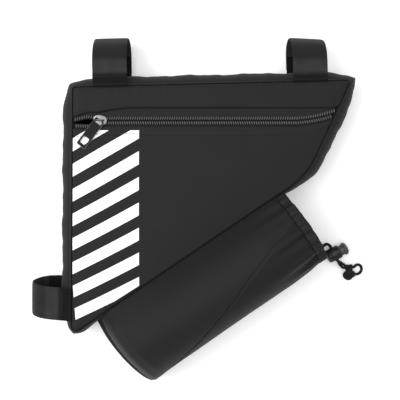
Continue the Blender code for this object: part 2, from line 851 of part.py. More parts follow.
def make_straps():
    top = TOP_LENGTH
    left = top - LEFT_STRAP_PLACE
    right = top - RIGHT_STRAP_PLACE
    seat = SEAT_STRAP_PLACE
    skew = -SEAT_STRAP_SKEW
    make_strap("top_strap_left", "top", left, TOP_STRAP_WIDTH, LEFT_STRAP_REACH)
    make_strap("top_strap_right", "top", right, TOP_STRAP_WIDTH, RIGHT_STRAP_REACH, RIGHT_STRAP_DROP)
    make_strap("seat_strap", "seat", seat, SEAT_STRAP_WIDTH, SEAT_STRAP_REACH, 0.0, skew)


def lock_matrix():
    return Matrix.Translation((*LOCK_START, LOCK_RADIUS)) @ Matrix.Rotation(LOCK_HEADING, 4, "Z")


def make_lock():
    """The barrel with its bore and cord hole, and the forked plunger inside it."""
    bore = LOCK_RADIUS - LOCK_WALL
    stem = bore - LOCK_CLEARANCE
    barrel = turned(
        "cord_lock_body",
        [
            (0, 0),
            (0, LOCK_RADIUS - 2 * LOCK_RIM),
            (LOCK_RIM, LOCK_RADIUS - LOCK_RIM / 2),
            (2 * LOCK_RIM, LOCK_RADIUS),
            (LOCK_LENGTH - LOCK_RIM, LOCK_RADIUS),
            (LOCK_LENGTH, LOCK_RADIUS - LOCK_RIM / 2),
            (LOCK_LENGTH, bore),
            (LOCK_FLOOR, bore),
            (LOCK_FLOOR, 0),
        ],
        20,
        "plastic",
    )
    foot = LOCK_FLOOR + PLUNGER_TRAVEL + GAP
    top = LOCK_LENGTH + PLUNGER_SHOWS
    button = LOCK_LENGTH + PLUNGER_TRAVEL + LOCK_CLEARANCE
    plunger = turned(
        "cord_lock_plunger",
        [
            (foot, 0),
            (foot, stem),
            (button, stem),
            (button, BUTTON_RADIUS),
            (top - 1.6 * LOCK_RIM, BUTTON_RADIUS * 0.96),
            (top - LOCK_RIM / 2, BUTTON_RADIUS * 0.7),
            (top, 0),
        ],
        20,
        "plastic",
    )
    tall = CORD_SPACING + CORD + 4 * GAP
    wide = CORD / 2 + 2 * GAP
    hole = block(
        "cord_hole",
        (CORD_HOLE_PLACE - wide, -2 * LOCK_RADIUS, -tall / 2),
        (CORD_HOLE_PLACE + wide, 2 * LOCK_RADIUS, tall / 2),
        "plastic",
    )
    slot = block(
        "plunger_slot",
        (foot - wide, -2 * LOCK_RADIUS, -tall / 2),
        (CORD_HOLE_PLACE + wide + PLUNGER_TRAVEL, 2 * LOCK_RADIUS, tall / 2),
        "plastic",
    )
    combine(barrel, hole, "DIFFERENCE")
    combine(plunger, slot, "DIFFERENCE")
    for piece in (barrel, plunger, hole, slot):
        piece.matrix_world = lock_matrix()


def cord(name, points, finish="cord"):
    """A round cord along points, on a smooth curve read every two and a half diameters."""
    reached = lengths_along(smooth_run(points))
    read = resample(smooth_run(points), max(3, round(reached[-1] / (2.5 * CORD)) * 2 + 1))
    curve = bpy.data.curves.new(name, "CURVE")
    curve.dimensions = "3D"
    curve.bevel_depth = CORD / 2
    curve.bevel_resolution = 2
    curve.use_fill_caps = True
    spline = curve.splines.new("POLY")
    spline.points.add(len(read) - 1)
    for point, spot in zip(spline.points, read):
        point.co = (*spot, 1)
    curve.materials.append(material(finish))
    made = bpy.data.objects.new(name, curve)
    bpy.context.scene.collection.objects.link(made)
    return made


def strand_points(side):
    """The points of one free cord, which is side 1 or -1 of the pair."""
    plan = [Vector((x * MM, y * MM)) for x, y in CORD_ROUTE]
    last = len(plan) - 1
    points = []
    for k, spot in enumerate(plan):
        share = eased((k - LOCK_EXIT) / (last - LOCK_EXIT))
        beside = outward_of((plan[min(k + 1, last)] - plan[max(k - 1, 0)]).normalized())
        apart = CORD_SPACING / 2 * side
        flat = spot + beside * apart * math.sin(share * math.pi / 2)
        height = LOCK_RADIUS + (KNOT_RADIUS - LOCK_RADIUS) * share + apart * math.cos(share * math.pi / 2)
        points.append((flat.x, flat.y, height))
    return points


def make_cords():
    for name, side in (("drawcord_front", 1), ("drawcord_back", -1)):
        cord(name, strand_points(side))
    cord("cord_loop", [(x * MM, y * MM, z * MM) for x, y, z in LOOP_ROUTE])


def ball(name, place, radius, finish):
    mesh = bpy.data.meshes.new(name)
    shape = bmesh.new()
    bmesh.ops.create_icosphere(shape, subdivisions=2, radius=radius)
    shape.to_mesh(mesh)
    shape.free()
    mesh.materials.append(material(finish))
    made = bpy.data.objects.new(name, mesh)
    made.location = (*place, radius)
    bpy.context.scene.collection.objects.link(made)
    return made


def make_knot():
    knot = ball("cord_knot", KNOT_PLACE, KNOT_RADIUS, "cord")
    combine(knot, ball("knot_ball", BALL_PLACE, BALL_RADIUS, "cord"), "UNION")


def centre_on_floor():
    """Moves all so that the origin is at the bottom centre of the bag's box without its free cord."""
    bpy.context.view_layer.update()
    graph = bpy.context.evaluated_depsgraph_get()
    corners = []
    for made in bpy.context.scene.objects:
        if not made.hide_render and not made.name.startswith(FREE_PIECES):
            shown = made.evaluated_get(graph)
            mesh = shown.to_mesh()
            corners += [made.matrix_world @ vertex.co for vertex in mesh.vertices]
            shown.to_mesh_clear()
    lows = [min(corner[axis] for corner in corners) for axis in range(3)]
    highs = [max(corner[axis] for corner in corners) for axis in range(3)]
    shift = Vector((-(lows[0] + highs[0]) / 2, -(lows[1] + highs[1]) / 2, -lows[2]))
    for made in bpy.context.scene.objects:
        made.matrix_world = Matrix.Translation(shift) @ made.matrix_world
    print("moved by", [round(value * 1000, 3) for value in shift])


def main():
    clear_scene()
    make_gussets()
    make_back_panel()
    make_front()
    tape_low, teeth_top = make_zip()
    make_pull(make_slider(tape_low, teeth_top))
    make_pocket()
    make_straps()
    make_lock()
    make_cords()
    make_knot()
    centre_on_floor()


main()
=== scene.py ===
"""Looks of a soft bicycle frame bag with a bottle pocket, lying on its back. Metres, +Z up."""

import math

import bmesh
import bpy
import numpy as np
from bpy.props import FloatProperty, FloatVectorProperty, PointerProperty
from mathutils import Matrix, Vector


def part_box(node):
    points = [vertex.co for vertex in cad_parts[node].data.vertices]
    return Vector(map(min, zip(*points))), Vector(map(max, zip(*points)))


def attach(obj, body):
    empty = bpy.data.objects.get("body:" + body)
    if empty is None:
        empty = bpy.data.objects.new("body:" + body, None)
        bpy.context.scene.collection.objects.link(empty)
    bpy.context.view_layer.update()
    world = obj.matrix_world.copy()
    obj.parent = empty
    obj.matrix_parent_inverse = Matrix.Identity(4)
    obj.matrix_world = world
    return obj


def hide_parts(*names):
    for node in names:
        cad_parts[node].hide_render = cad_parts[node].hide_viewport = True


bl_info = {
    "name": "Frame bag looks",
    "version": (1, 0, 0),
    "blender": (4, 5, 0),
    "location": "3D View > Sidebar > Frame bag",
    "description": "Cloth, zip, straps, bottle pocket and drawcord of a bicycle frame bag",
    "category": "Object",
}

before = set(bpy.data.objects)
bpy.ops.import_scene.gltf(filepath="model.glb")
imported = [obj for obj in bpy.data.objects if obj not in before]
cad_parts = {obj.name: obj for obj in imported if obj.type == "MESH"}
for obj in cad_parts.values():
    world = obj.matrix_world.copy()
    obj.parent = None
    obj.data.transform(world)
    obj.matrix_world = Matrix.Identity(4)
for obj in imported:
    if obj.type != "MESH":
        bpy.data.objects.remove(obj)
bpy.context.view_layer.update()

MM = 0.001
UP = Vector((0, 0, 1))

# The point of the floor under the middle of the photograph, and the camera above it
PHOTO_MIDDLE = Vector((7.403 * MM, 10.908 * MM))
CAMERA_HEIGHT = 640 * MM
CAMERA_LENS = 51.43
SENSOR = 36.0

# The front seam, as the frame has it
TOP_LENGTH = 288.6 * MM
TOP_RISE = math.radians(1.4)
SEAT_LENGTH = 257 * MM
SEAT_LEAN = math.radians(0.3)
HEAD_LENGTH = 110 * MM
HEAD_LEAN = math.radians(24.9)
TOP_LEFT = PHOTO_MIDDLE + Vector((-132 * MM, 117 * MM))
CORNER_RADIUS = {"top_left": 3 * MM, "tip": 5 * MM, "junction": 80 * MM, "top_right": 2.5 * MM}
SIDES = {
    "seat": ("top_left", "tip"),
    "down": ("tip", "junction"),
    "head": ("junction", "top_right"),
    "top": ("top_right", "top_left"),
}
BODY_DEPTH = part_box("top_strap_left_long")[1][2]
BULGE = {"seat": 15 * MM, "down": 4 * MM, "head": 14 * MM, "top": 14 * MM}
CORNER_BULGE = {"top_left": 9 * MM, "tip": 7 * MM, "junction": 9 * MM, "top_right": 9.6 * MM}
# from each corner to the gusset's full bulge
BULGE_REACH = {"top_left": 28 * MM, "tip": 45 * MM, "junction": 45 * MM, "top_right": 31 * MM}
# how fast the bulge falls off toward each corner
BULGE_EASE = 2.6
# 1 draws the gusset out to a sharp corner, 0 leaves it round
CORNER_SHARPNESS = {"top_left": 0.66, "tip": 0.4, "junction": 0.0, "top_right": 0.64}
GUSSET_SECTION = [(0, 0.5), (0.12, 0.74), (0.3, 0.95), (0.52, 1), (0.72, 0.86), (0.88, 0.5), (1, 0)]
# the gusset's cloth stands this far out of the front seam, then turns in: outset, rise
SEAM_BEAD = 1.5 * MM
SEAM_TURN = [
    (1.2 * MM, 0.35 * MM), (0.7 * MM, 0.2 * MM), (0.35 * MM, -0.7 * MM), (0.1 * MM, -1.6 * MM),
    (-1.4 * MM, -1.7 * MM),
]
# the back panel from below round its edge to its upper face: share of the outline, height
BACK_RINGS = [
    (0.0, 0.25 * MM), (0.5, 0.2 * MM), (0.9, 0.1 * MM), (0.985, 0.05 * MM), (0.997, 0.4 * MM),
    (1.0, 1.0 * MM), (0.997, 1.6 * MM), (0.985, 2.0 * MM), (0.5, 2.0 * MM), (0.0, 2.0 * MM),
]
# thickness of each cloth
FRONT_CLOTH = 1.5 * MM
GUSSET_CLOTH = 1.2 * MM
POCKET_CLOTH = 1.4 * MM
TAPE_CLOTH = 0.8 * MM
# how far the front's cloth drops where it turns over an edge, and within which reach
SEAM_ROLL = (2.9 * MM, 2.4 * MM)
LOWER_LIP_ROLL = (2.4 * MM, 2.2 * MM)
UPPER_LIP_ROLL = (1.6 * MM, 1.6 * MM)
# from the lower lip to its line of stitches
LIP_STITCH = 8.4 * MM
# height and width of the bead along the lower lip and of the groove under its stitches
LIP_BEAD = (0.9 * MM, 4 * MM)
STITCH_GROOVE = (0.55 * MM, 1.1 * MM)
# from the edges to where the front's crown levels off, and its full height as a share of the crown
CROWN_REACH = 38 * MM
CROWN_SHARE = 1.25
# the same for the band above the zip
BAND_RISE = 1.8 * MM
BAND_REACH = 9 * MM
# puckers beside the front seam
PUCKER_PITCH = 9 * MM
PUCKER_FROM_SEAM = 3 * MM
PUCKER_WIDTH = 4 * MM
# how finely the front panels are divided
FRONT_COLUMNS = 220
FRONT_ROWS = 90
BAND_ROWS = 34
SEAM_STEPS = 160
# amplitude, wavelength and phase of the gusset's slack
SLACK_WAVES = [(0.5 * MM, 67 * MM, 0.4), (0.35 * MM, 29 * MM, 1.9), (0.2 * MM, 13.7 * MM, 0.7)]

# The zip
ZIP_DROP = 34.5 * MM
ZIP_ROW = 4.6 * MM
ZIP_END_REACH = 42 * MM
ZIP_LEFT_DIP = 2.5 * MM
ZIP_RIGHT_RISE = 7 * MM
ZIP_SHOW = 7.6 * MM
ZIP_CLOSED_GAP = 0.3 * MM
ZIP_OPEN_GAP = 5 * MM
ZIP_OPEN_REACH = 14 * MM
# the open rows come together again toward the seam: share left, reach
ZIP_PINCH = (0.3, 17 * MM)
ZIP_FROM_SEAM = 1.8 * MM
LIP_CLEARANCE = 0.5 * MM
SLIDER_PLACE = 29 * MM
# the bail's half arch in millimetres, from the slider's plate to the top: from the middle, above the plate
BAIL_HALF = [(3.7, -0.2), (3.6, 0.9), (3.1, 2.1), (2.1, 2.75), (0, 2.95)]
PULL_HEADING = math.radians(233)
PULL_LENGTH = 33.5 * MM
PULL_WIDTH = 11 * MM
PULL_BAR = 1.4 * MM
PULL_EYE = (3.4 * MM, 7.2 * MM)
PULL_WINDOW = (7.6 * MM, 6.4 * MM)
PULL_END_BAR = 3.4 * MM

# The pocket
POCKET_WIDTH = 87.5 * MM
POCKET_DEPTH = 80 * MM
POCKET_LENGTH = 237 * MM
POCKET_START = 29 * MM
POCKET_SLANT = 8 * MM
HEM_WIDTH = 11 * MM
POCKET_SECTION = [
    (0.1, 0.72), (0.22, 0.865), (0.36, 0.96), (0.52, 1), (0.68, 0.965), (0.83, 0.86), (0.945, 0.69),
    (1, 0.47), (0.975, 0.26), (0.9, 0.105), (0.78, 0.02), (0.64, 0), (0.4, 0), (0.16, 0),
]
POCKET_STATIONS = [
    (0, 0.5, 1.06, 0.6), (0.02, 0.68, 1.056, 0.78), (0.05, 0.83, 1.042, 0.93), (0.1, 0.93, 1.02, 1),
    (0.2, 0.99, 1.005, 1), (0.4, 1, 1, 1), (0.65, 1, 1, 1), (0.85, 0.98, 0.995, 1), (0.95, 0.95, 0.98, 1),
    (1, 0.93, 0.965, 1),
]
# the length round the pocket's section, and the share of it from which the cloth lies underneath
POCKET_ROUND = 232 * MM
UNDERSIDE = 0.56
# share of the section, how far behind it the closed foot bulges
POCKET_FOOT = [
    (0, 5.2 * MM), (0.3, 5.2 * MM), (0.6, 5.0 * MM), (0.8, 4.5 * MM), (0.9, 3.7 * MM), (0.96, 2.5 * MM),
    (0.99, 1.2 * MM),
]
# how far apart in share the seam's slope is read
SEAM_STEP = 0.004
# depth and half width of the seam's groove, and how far the side panel lies back from the front panel
SEAM_GROOVE = (1.3 * MM, 0.75 * MM)
SEAM_BACK = (0.3 * MM, 0.6 * MM)
# from the seam to the stitches on either side of it
SEAM_STITCHES = (-2.4 * MM, 2.2 * MM)
CREASE_PUCKER_PITCH = 9.5 * MM
SECTION_STEPS = 241
# the pocket's cloth stays this far off the floor
FLOOR_GAP = 0.05 * MM
HEM_THICKNESS = 3.4 * MM
# length share, section share of the slanted seam
POCKET_SEAM = [(0, 0.5), (0.12, 0.475), (0.3, 0.415), (0.5, 0.34), (0.7, 0.265), (0.88, 0.205), (1, 0.18)]

# The straps
STRAP_THICKNESS = 2 * MM
# share of the reach, share of the body's depth, from the seam round the bend
STRAP_PATH = [
    (0.2, 1), (0.42, 0.99), (0.62, 0.95), (0.8, 0.84), (0.94, 0.65), (1, 0.42), (0.975, 0.2), (0.9, 0.05),
]
STRAP_FLAT = 0.78
STRAP_END = 16 * MM
STRAP_RAMP = 10 * MM
# a strap starts this far outside the seam, and its halves lie this far apart where they overlap
STRAP_GAP = 0.3 * MM
# from the seam to the two rows of stitches
STRAP_STITCHES = (2.2 * MM, 10.4 * MM)
# how much nearer its seam one strap's painted shading lies
STRAP_SHIFT = {"top_strap_right": 5 * MM}
# distance along the strap from the seam, tone: painted shade where it is sewn on and curves down, full tone
# where it lies flat, painted shade in the bend, and a painted highlight on the bend's crest
STRAP_SHADE_TONES = [
    (0, 0.12), (11 * MM, 0.16), (15.5 * MM, 1), (25 * MM, 0.95), (30 * MM, 0.42), (43 * MM, 0.36),
    (53 * MM, 0.75), (60 * MM, 0.6),
]
# side, place from its first corner, width, reach, drop of one edge, skew
STRAPS = {
    "top_strap_left": ("top", TOP_LENGTH - 38.5 * MM, 36 * MM, 57 * MM, 0.0, 0.0),
    "top_strap_right": ("top", TOP_LENGTH - 247 * MM, 36 * MM, 53 * MM, 3 * MM, 0.0),
    "seat_strap": ("seat", 226 * MM, 34 * MM, 48.6 * MM, 0.0, -8 * MM),
}

# The drawcord, lock and knot
CORD_SPACING = 3.2 * MM
LOCK_RADIUS = 7.5 * MM
LOCK_LENGTH = 15.5 * MM
LOCK_FLOOR = 3 * MM
LOCK_WALL = 1.3 * MM
LOCK_RIM = 1.2 * MM
LOCK_CLEARANCE = 0.4 * MM
LOCK_HEADING = math.radians(26.7)
LOCK_START = PHOTO_MIDDLE + Vector((140.5 * MM, -63.5 * MM))
# one groove round the barrel in millimetres: along, depth
LOCK_GROOVE = [(0, 0), (0.3, 0.35), (0.7, 0.35), (1.0, 0)]
PLUNGER_TRAVEL = 4 * MM
PLUNGER_SHOWS = 9.3 * MM
BUTTON_RADIUS = 7 * MM
BUTTON_DOME = 2.7 * MM
LOCK_EXIT = 9
CORD_HOLE_PLACE = 9 * MM
CORD_ROUTE = [
    (130.8, -55.3), (133.8, -52.9), (137.2, -50.2), (140.2, -48.9), (142.8, -49.7), (144.6, -52.2),
    (146.2, -55.2), (148.4, -59.6), (150.4, -63.6), (152.4, -67.2), (154.9, -69.8), (157.5, -72.1),
    (160.3, -73.9),
]
KNOT_ROUTE = [(163.4, -74.2, 7.6), (167.0, -74.8, 5.4)]
LOOP_ROUTE = [
    (171.2, -74.4, 4.4), (173.2, -72.8, 3.6), (175.8, -72.1, 2.6), (178.6, -72.9, 1.8), (180.3, -75.3, 1.4),
    (180.3, -78.4, 1.4), (178.4, -81.2, 1.8), (175.3, -82.6, 2.8), (172.6, -82.5, 4.2), (169.4, -82.4, 5.8),
]
KNOT_PLACE = (165.5, -75.5)
KNOT_RADIUS = 4.8 * MM
BALL_PLACE = (165.1, -82.0)
BALL_RADIUS = 7 * MM

# Soft boxes of the studio: name, place, side in metres, power in watts
LIGHTS = [
    ("key_softbox", (-1.0, 0.15, 1.25), 1.1, 12.5),
    ("fill_softbox", (0.3, 1.1, 1.6), 1.4, 0.6),
    ("top_softbox", (-0.1, 0.1, 1.9), 2.4, 28.0),
]
WORLD_STRENGTH = 0.4

# The printed stripes, measured on the cloth in millimetres from the middle of the photograph
STRIPE_TOP = 37.1
STRIPE_RATE = 0.03817
STRIPE_SHRINK = 1.112e-5
STRIPE_SLOPE = 0.536
STRIPE_FAN = 0.00059
STRIPE_START = 72.1
STRIPE_COUNT = 7
STRIPE_LEFT = -132.6
STRIPE_RIGHT = -63.0
STRIPE_SHARE = 0.51
# the pocket's crease covers the lowest stripe below this line: its slope, and its height where x is 0
CREASE_SLOPE = 0.636
CREASE_RISE = -48.6
# toward the tip the seat seam turns in over the stripes: where from, how fast, where the ink starts above it
SEAM_TURNS_AT = -84.0
SEAM_TURNS_BY = 0.085
SEAM_LEFT = -132.2
# what the ink adds to the cloth's roughness, and to its height as a share of the weave's
INK_SMOOTHER = -0.2
INK_RISE = 0.5


def hex_colour(code):
    """Linear colour from an sRGB hex value."""
    parts = [int(code[k : k + 2], 16) / 255 for k in (0, 2, 4)]
    return tuple(part / 12.92 if part <= 0.04045 else ((part + 0.055) / 1.055) ** 2.4 for part in parts)


def length_property(name, size, description):
    return FloatProperty(name=name, description=description, default=size, unit="LENGTH")


def colour_property(name, code, description):
    colour = hex_colour(code)
    return FloatVectorProperty(name=name, description=description, default=colour, subtype="COLOR", size=3)


class BagSizes(bpy.types.PropertyGroup):
    """Sizes of the finish that can be changed without touching the frame."""

    stitch_length: length_property("Stitch length", 2.6 * MM, "Length of one stitch")
    stitch_pitch: length_property("Stitch pitch", 3.4 * MM, "From stitch to stitch")
    thread: length_property("Thread", 0.5 * MM, "Thickness of the sewing thread")
    weave: length_property("Weave", 0.9 * MM, "Two threads of the cloth")
    tooth_pitch: length_property("Tooth pitch", 2.4 * MM, "From tooth to tooth")
    crown: length_property("Front crown", 3.5 * MM, "Rise of the front panel")
    gather: length_property("Gathers", 2.2 * MM, "Depth of the folds at the hem")
    cord: length_property("Cord", 3 * MM, "Diameter of the drawcord")


class BagColours(bpy.types.PropertyGroup):
    """Colours of the finishes."""

    cloth: colour_property("Cloth", "141415", "Coated pack cloth of the front")
    # the front's pack cloth painted darker: painted shade on the sides that face away from the light
    shaded_side_cloth: colour_property("Side cloth", "101010", "Pack cloth of the gusset and the pocket's side")
    stripe: colour_property("Stripes", "fdfdfd", "Ink of the printed stripes")
    hem: colour_property("Hem", "151816", "Binding cloth of the hem")
    strap: colour_property("Strap", "303031", "Pile of the straps")
    strap_base: colour_property("Strap base", "0c0c0d", "Flat webbing where a strap is sewn on")
    tape: colour_property("Zip tape", "151516", "Woven tape of the zip")
    coil: colour_property("Zip coil", "4c4c4c", "Nylon coil of the zip")
    thread: colour_property("Thread", "1c1c1c", "Sewing thread")
    metal: colour_property("Slider", "7c7c7a", "Plated slider")
    pull: colour_property("Pull", "0a0a0b", "Lacquered pull")
    plastic: colour_property("Lock", "0b0b0c", "Moulded lock")
    plunger: colour_property("Plunger", "424242", "Moulded plunger")
    cord: colour_property("Cord", "101011", "Braided drawcord")
    floor: colour_property("Floor", "ffffff", "Plain floor")


def sizes():
    return bpy.context.scene.bag_sizes


def colour_of(name):
    return tuple(getattr(bpy.context.scene.bag_colours, name))


# Nodes and materials


def add_node(tree, kind, settings=(), inputs=()):
    """One shader node with its settings; an input takes a value or a (node, output) pair to link to."""
    node = tree.nodes.new(kind)
    for name, value in dict(settings).items():
        setattr(node, name, value)
    for name, value in dict(inputs).items():
        if isinstance(value, tuple) and isinstance(value[0], bpy.types.Node):
            link_to(tree, value, node, name)
        else:
            node.inputs[name].default_value = value
    return node


def link_to(tree, source, target, socket):
    node, output = source
    tree.links.new(node.outputs[output], target.inputs[socket])


def start_material(name, colour, roughness, **sockets):
    """A new material whose Principled shader has these constant values."""
    made = bpy.data.materials.get(name)
    if made:
        return made, None, None
    made = bpy.data.materials.new(name)
    made.use_nodes = True
    tree = made.node_tree
    shader = tree.nodes["Principled BSDF"]
    shader.inputs["Base Color"].default_value = (*colour, 1)
    shader.inputs["Roughness"].default_value = roughness
    for socket, value in sockets.items():
        shader.inputs[socket.replace("_", " ")].default_value = value
    return made, tree, shader


def wave_scale(pitch):
    """The Wave Texture's scale for bands this far apart."""
    return math.pi / 10 / pitch


def weave_height(tree, pitch):
    """Height of a plain weave on the UV map, which is in metres."""
    spot = add_node(tree, "ShaderNodeUVMap")
    threads = []
    for direction in ("X", "Y"):
        wave = add_node(
            tree,
            "ShaderNodeTexWave",
            {"bands_direction": direction, "wave_profile": "SIN"},
            {"Scale": wave_scale(pitch), "Distortion": 0.15, "Detail": 1.0, "Vector": (spot, "UV")},
        )
        threads.append((wave, "Fac"))
    crossed = add_node(tree, "ShaderNodeMath", {"operation": "MULTIPLY"}, {0: threads[0], 1: threads[1]})
    return crossed, "Value"


def tone_drift(tree, colour, spread, scale=28.0):
    """The colour with a slow, slight change of tone over the surface."""
    spot = add_node(tree, "ShaderNodeTexCoord")
    inputs = {"Scale": scale, "Detail": 4.0, "Roughness": 0.6, "Vector": (spot, "Object")}
    noise = add_node(tree, "ShaderNodeTexNoise", {}, inputs)
    ramp = add_node(tree, "ShaderNodeValToRGB", {}, {"Fac": (noise, "Fac")})
    for stop, position, tone in zip(ramp.color_ramp.elements, (0.3, 0.7), (1 - spread, 1 + spread)):
        stop.position = position
        stop.color = (*[part * tone for part in colour], 1)
    return ramp, "Color"


def raise_surface(tree, shader, height, distance, strength=0.6):
    inputs = {"Strength": strength, "Distance": distance, "Height": height}
    bump = add_node(tree, "ShaderNodeBump", {}, inputs)
    link_to(tree, (bump, "Normal"), shader, "Normal")


def raise_grain(tree, shader, scale, detail, distance, strength):
    """The fine uneven grain that a cast, lacquered or moulded surface has."""
    spot = add_node(tree, "ShaderNodeTexCoord")
    inputs = {"Scale": scale, "Detail": detail, "Vector": (spot, "Object")}
    noise = add_node(tree, "ShaderNodeTexNoise", {}, inputs)
    raise_surface(tree, shader, (noise, "Fac"), distance, strength)


CLOTH_ROUGHNESS = 0.72
CLOTH_SHEEN = {"IOR": 1.5, "Specular_IOR_Level": 0.3, "Sheen_Weight": 0.03, "Sheen_Roughness": 0.5}
CLOTH_GRAIN = 0.12 * MM


def pack_cloth(name, colour):
    """600 denier polyester, plain woven and coated behind: matt black, a faint grain and a soft sheen."""
    made, tree, shader = start_material(name, colour, CLOTH_ROUGHNESS, **CLOTH_SHEEN)
    if tree:
        link_to(tree, tone_drift(tree, colour, 0.1), shader, "Base Color")
        raise_surface(tree, shader, weave_height(tree, sizes().weave), CLOTH_GRAIN)
    return made


def front_cloth():
    return pack_cloth("coated_pack_cloth", colour_of("cloth"))


# the same pack cloth as the front in a darker colour, painted shade for the gusset, the back and the pocket's
# side
def shaded_side_cloth():
    return pack_cloth("side_pack_cloth", colour_of("shaded_side_cloth"))


def striped_cloth():
    """The same pack cloth with opaque white stripes screen printed across its seat end, in smoother ink."""
    colour = colour_of("cloth")
    made, tree, shader = start_material("screen_printed_pack_cloth", colour, CLOTH_ROUGHNESS, **CLOTH_SHEEN)
    if not tree:
        return made
    spot = add_node(tree, "ShaderNodeTexCoord")
    apart = add_node(tree, "ShaderNodeSeparateXYZ", {}, {"Vector": (spot, "Object")})
    # each step is named, and its inputs are earlier steps or numbers
    values = {"metres_x": (apart, "X"), "metres_y": (apart, "Y")}
    for name, operation, *given in (
        ("x", "MULTIPLY_ADD", "metres_x", 1 / MM, -PHOTO_MIDDLE.x / MM),
        ("y", "MULTIPLY_ADD", "metres_y", 1 / MM, -PHOTO_MIDDLE.y / MM),
        ("slope", "MULTIPLY_ADD", "y", STRIPE_FAN, STRIPE_SLOPE),
        ("across", "SUBTRACT", "x", STRIPE_LEFT),
        ("rise", "MULTIPLY", "slope", "across"),
        ("at_left", "SUBTRACT", "y", "rise"),
        ("down", "SUBTRACT", STRIPE_TOP, "at_left"),
        ("bent", "MULTIPLY_ADD", "down", STRIPE_SHRINK, STRIPE_RATE),
        ("count", "MULTIPLY", "down", "bent"),
        ("share", "FLOORED_MODULO", "count", 1.0),
        ("crease", "MULTIPLY_ADD", "x", CREASE_SLOPE, CREASE_RISE),
        ("below_turn", "SUBTRACT", SEAM_TURNS_AT, "y"),
        ("beyond", "MAXIMUM", "below_turn", 0.0),
        ("seam", "MULTIPLY_ADD", "beyond", SEAM_TURNS_BY, SEAM_LEFT),
        ("ink", "LESS_THAN", "share", STRIPE_SHARE),
        ("left_of_end", "LESS_THAN", "x", STRIPE_RIGHT),
        ("below_start", "LESS_THAN", "y", STRIPE_START),
        ("counted", "LESS_THAN", "count", STRIPE_COUNT),
        ("above_crease", "GREATER_THAN", "y", "crease"),
        ("inside_seam", "GREATER_THAN", "x", "seam"),
        ("ink", "MULTIPLY", "ink", "left_of_end"),
        ("ink", "MULTIPLY", "ink", "below_start"),
        ("ink", "MULTIPLY", "ink", "counted"),
        ("ink", "MULTIPLY", "ink", "above_crease"),
        ("ink", "MULTIPLY", "ink", "inside_seam"),
        ("roughness", "MULTIPLY_ADD", "ink", INK_SMOOTHER, CLOTH_ROUGHNESS),
    ):
        inputs = {k: values.get(value, value) for k, value in enumerate(given)}
        values[name] = (add_node(tree, "ShaderNodeMath", {"operation": operation}, inputs), "Value")
    tint = tone_drift(tree, colour, 0.1)
    inputs = {"A": tint, "B": (*colour_of("stripe"), 1), "Factor": values["ink"]}
    mix = add_node(tree, "ShaderNodeMix", {"data_type": "RGBA"}, inputs)
    link_to(tree, (mix, "Result"), shader, "Base Color")
    link_to(tree, values["roughness"], shader, "Roughness")
    inputs = {0: values["ink"], 1: INK_RISE, 2: weave_height(tree, sizes().weave)}
    grain = add_node(tree, "ShaderNodeMath", {"operation": "MULTIPLY_ADD"}, inputs)
    raise_surface(tree, shader, (grain, "Value"), CLOTH_GRAIN)
    return made


def pile_strap():
    """Hook-and-loop strap, loop side out: a napped nylon pile, with painted shade where it is sewn on and
    toward the bend, full tone where it lies flat by its seam, and a painted highlight on the bend's crest."""
    colour = colour_of("strap")
    sheen = {"Specular_IOR_Level": 0.15, "Sheen_Weight": 0.06, "Sheen_Roughness": 0.6}
    made, tree, shader = start_material("napped_nylon_loop", colour, 0.95, IOR=1.53, **sheen)
    if tree:
        spot = add_node(tree, "ShaderNodeUVMap")
        inputs = {"Scale": 1 / (1.1 * MM), "Detail": 6.0, "Roughness": 0.7, "Vector": (spot, "UV")}
        noise = add_node(tree, "ShaderNodeTexNoise", {}, inputs)
        tint = tone_drift(tree, colour, 0.16, 90.0)
        along = add_node(tree, "ShaderNodeSeparateXYZ", {}, {"Vector": (spot, "UV")})
        inputs = {0: (along, "X"), 1: STRAP_SHADE_TONES[-1][0]}
        place = add_node(tree, "ShaderNodeMath", {"operation": "DIVIDE"}, inputs)
        # painted shade and highlight along the strap, by distance from its seam
        painted_strap_shading = add_node(tree, "ShaderNodeValToRGB", {}, {"Fac": (place, "Value")})
        stops = painted_strap_shading.color_ramp.elements
        while len(stops) < len(STRAP_SHADE_TONES):
            stops.new(0.5)
        for stop, (distance, tone) in zip(stops, STRAP_SHADE_TONES):
            stop.position = distance / STRAP_SHADE_TONES[-1][0]
            stop.color = (tone, tone, tone, 1)
        shaded_pile = add_node(
            tree,
            "ShaderNodeMix",
            {"data_type": "RGBA", "blend_type": "MULTIPLY"},
            {"Factor": 1.0, "A": tint, "B": (painted_strap_shading, "Color")},
        )
        link_to(tree, (shaded_pile, "Result"), shader, "Base Color")
        raise_surface(tree, shader, (noise, "Fac"), 0.5 * MM, 0.8)
    return made


def ribbed_webbing(name, colour, pitch=1.2 * MM, gloss=0.35):
    """Woven polyester tape: flat ribs along its length with a low gloss."""
    made, tree, shader = start_material(name, colour, 0.75, IOR=1.5, Specular_IOR_Level=gloss)
    if tree:
        link_to(tree, tone_drift(tree, colour, 0.08), shader, "Base Color")
        raise_surface(tree, shader, weave_height(tree, pitch), 0.2 * MM, 0.7)
    return made


def spun_thread():
    """Bonded polyester sewing thread: a little shinier than the cloth, so stitches catch the light."""
    colour = colour_of("thread")
    made, tree, shader = start_material("bonded_polyester_thread", colour, 0.45, IOR=1.5)
    if tree:
        spot = add_node(tree, "ShaderNodeTexCoord")
        twist = add_node(
            tree,
            "ShaderNodeTexWave",
            {"bands_direction": "DIAGONAL"},
            {"Scale": wave_scale(0.5 * MM), "Vector": (spot, "Object")},
        )
        raise_surface(tree, shader, (twist, "Fac"), 0.1 * MM)
    return made


def nylon_coil():
    """Extruded nylon monofilament: smooth and semi-gloss, so each turn of the coil shows a highlight."""
    colour = colour_of("coil")
    made, tree, shader = start_material("nylon_monofilament", colour, 0.5, IOR=1.53)
    if tree:
        link_to(tree, tone_drift(tree, colour, 0.12, 400.0), shader, "Base Color")
    return made


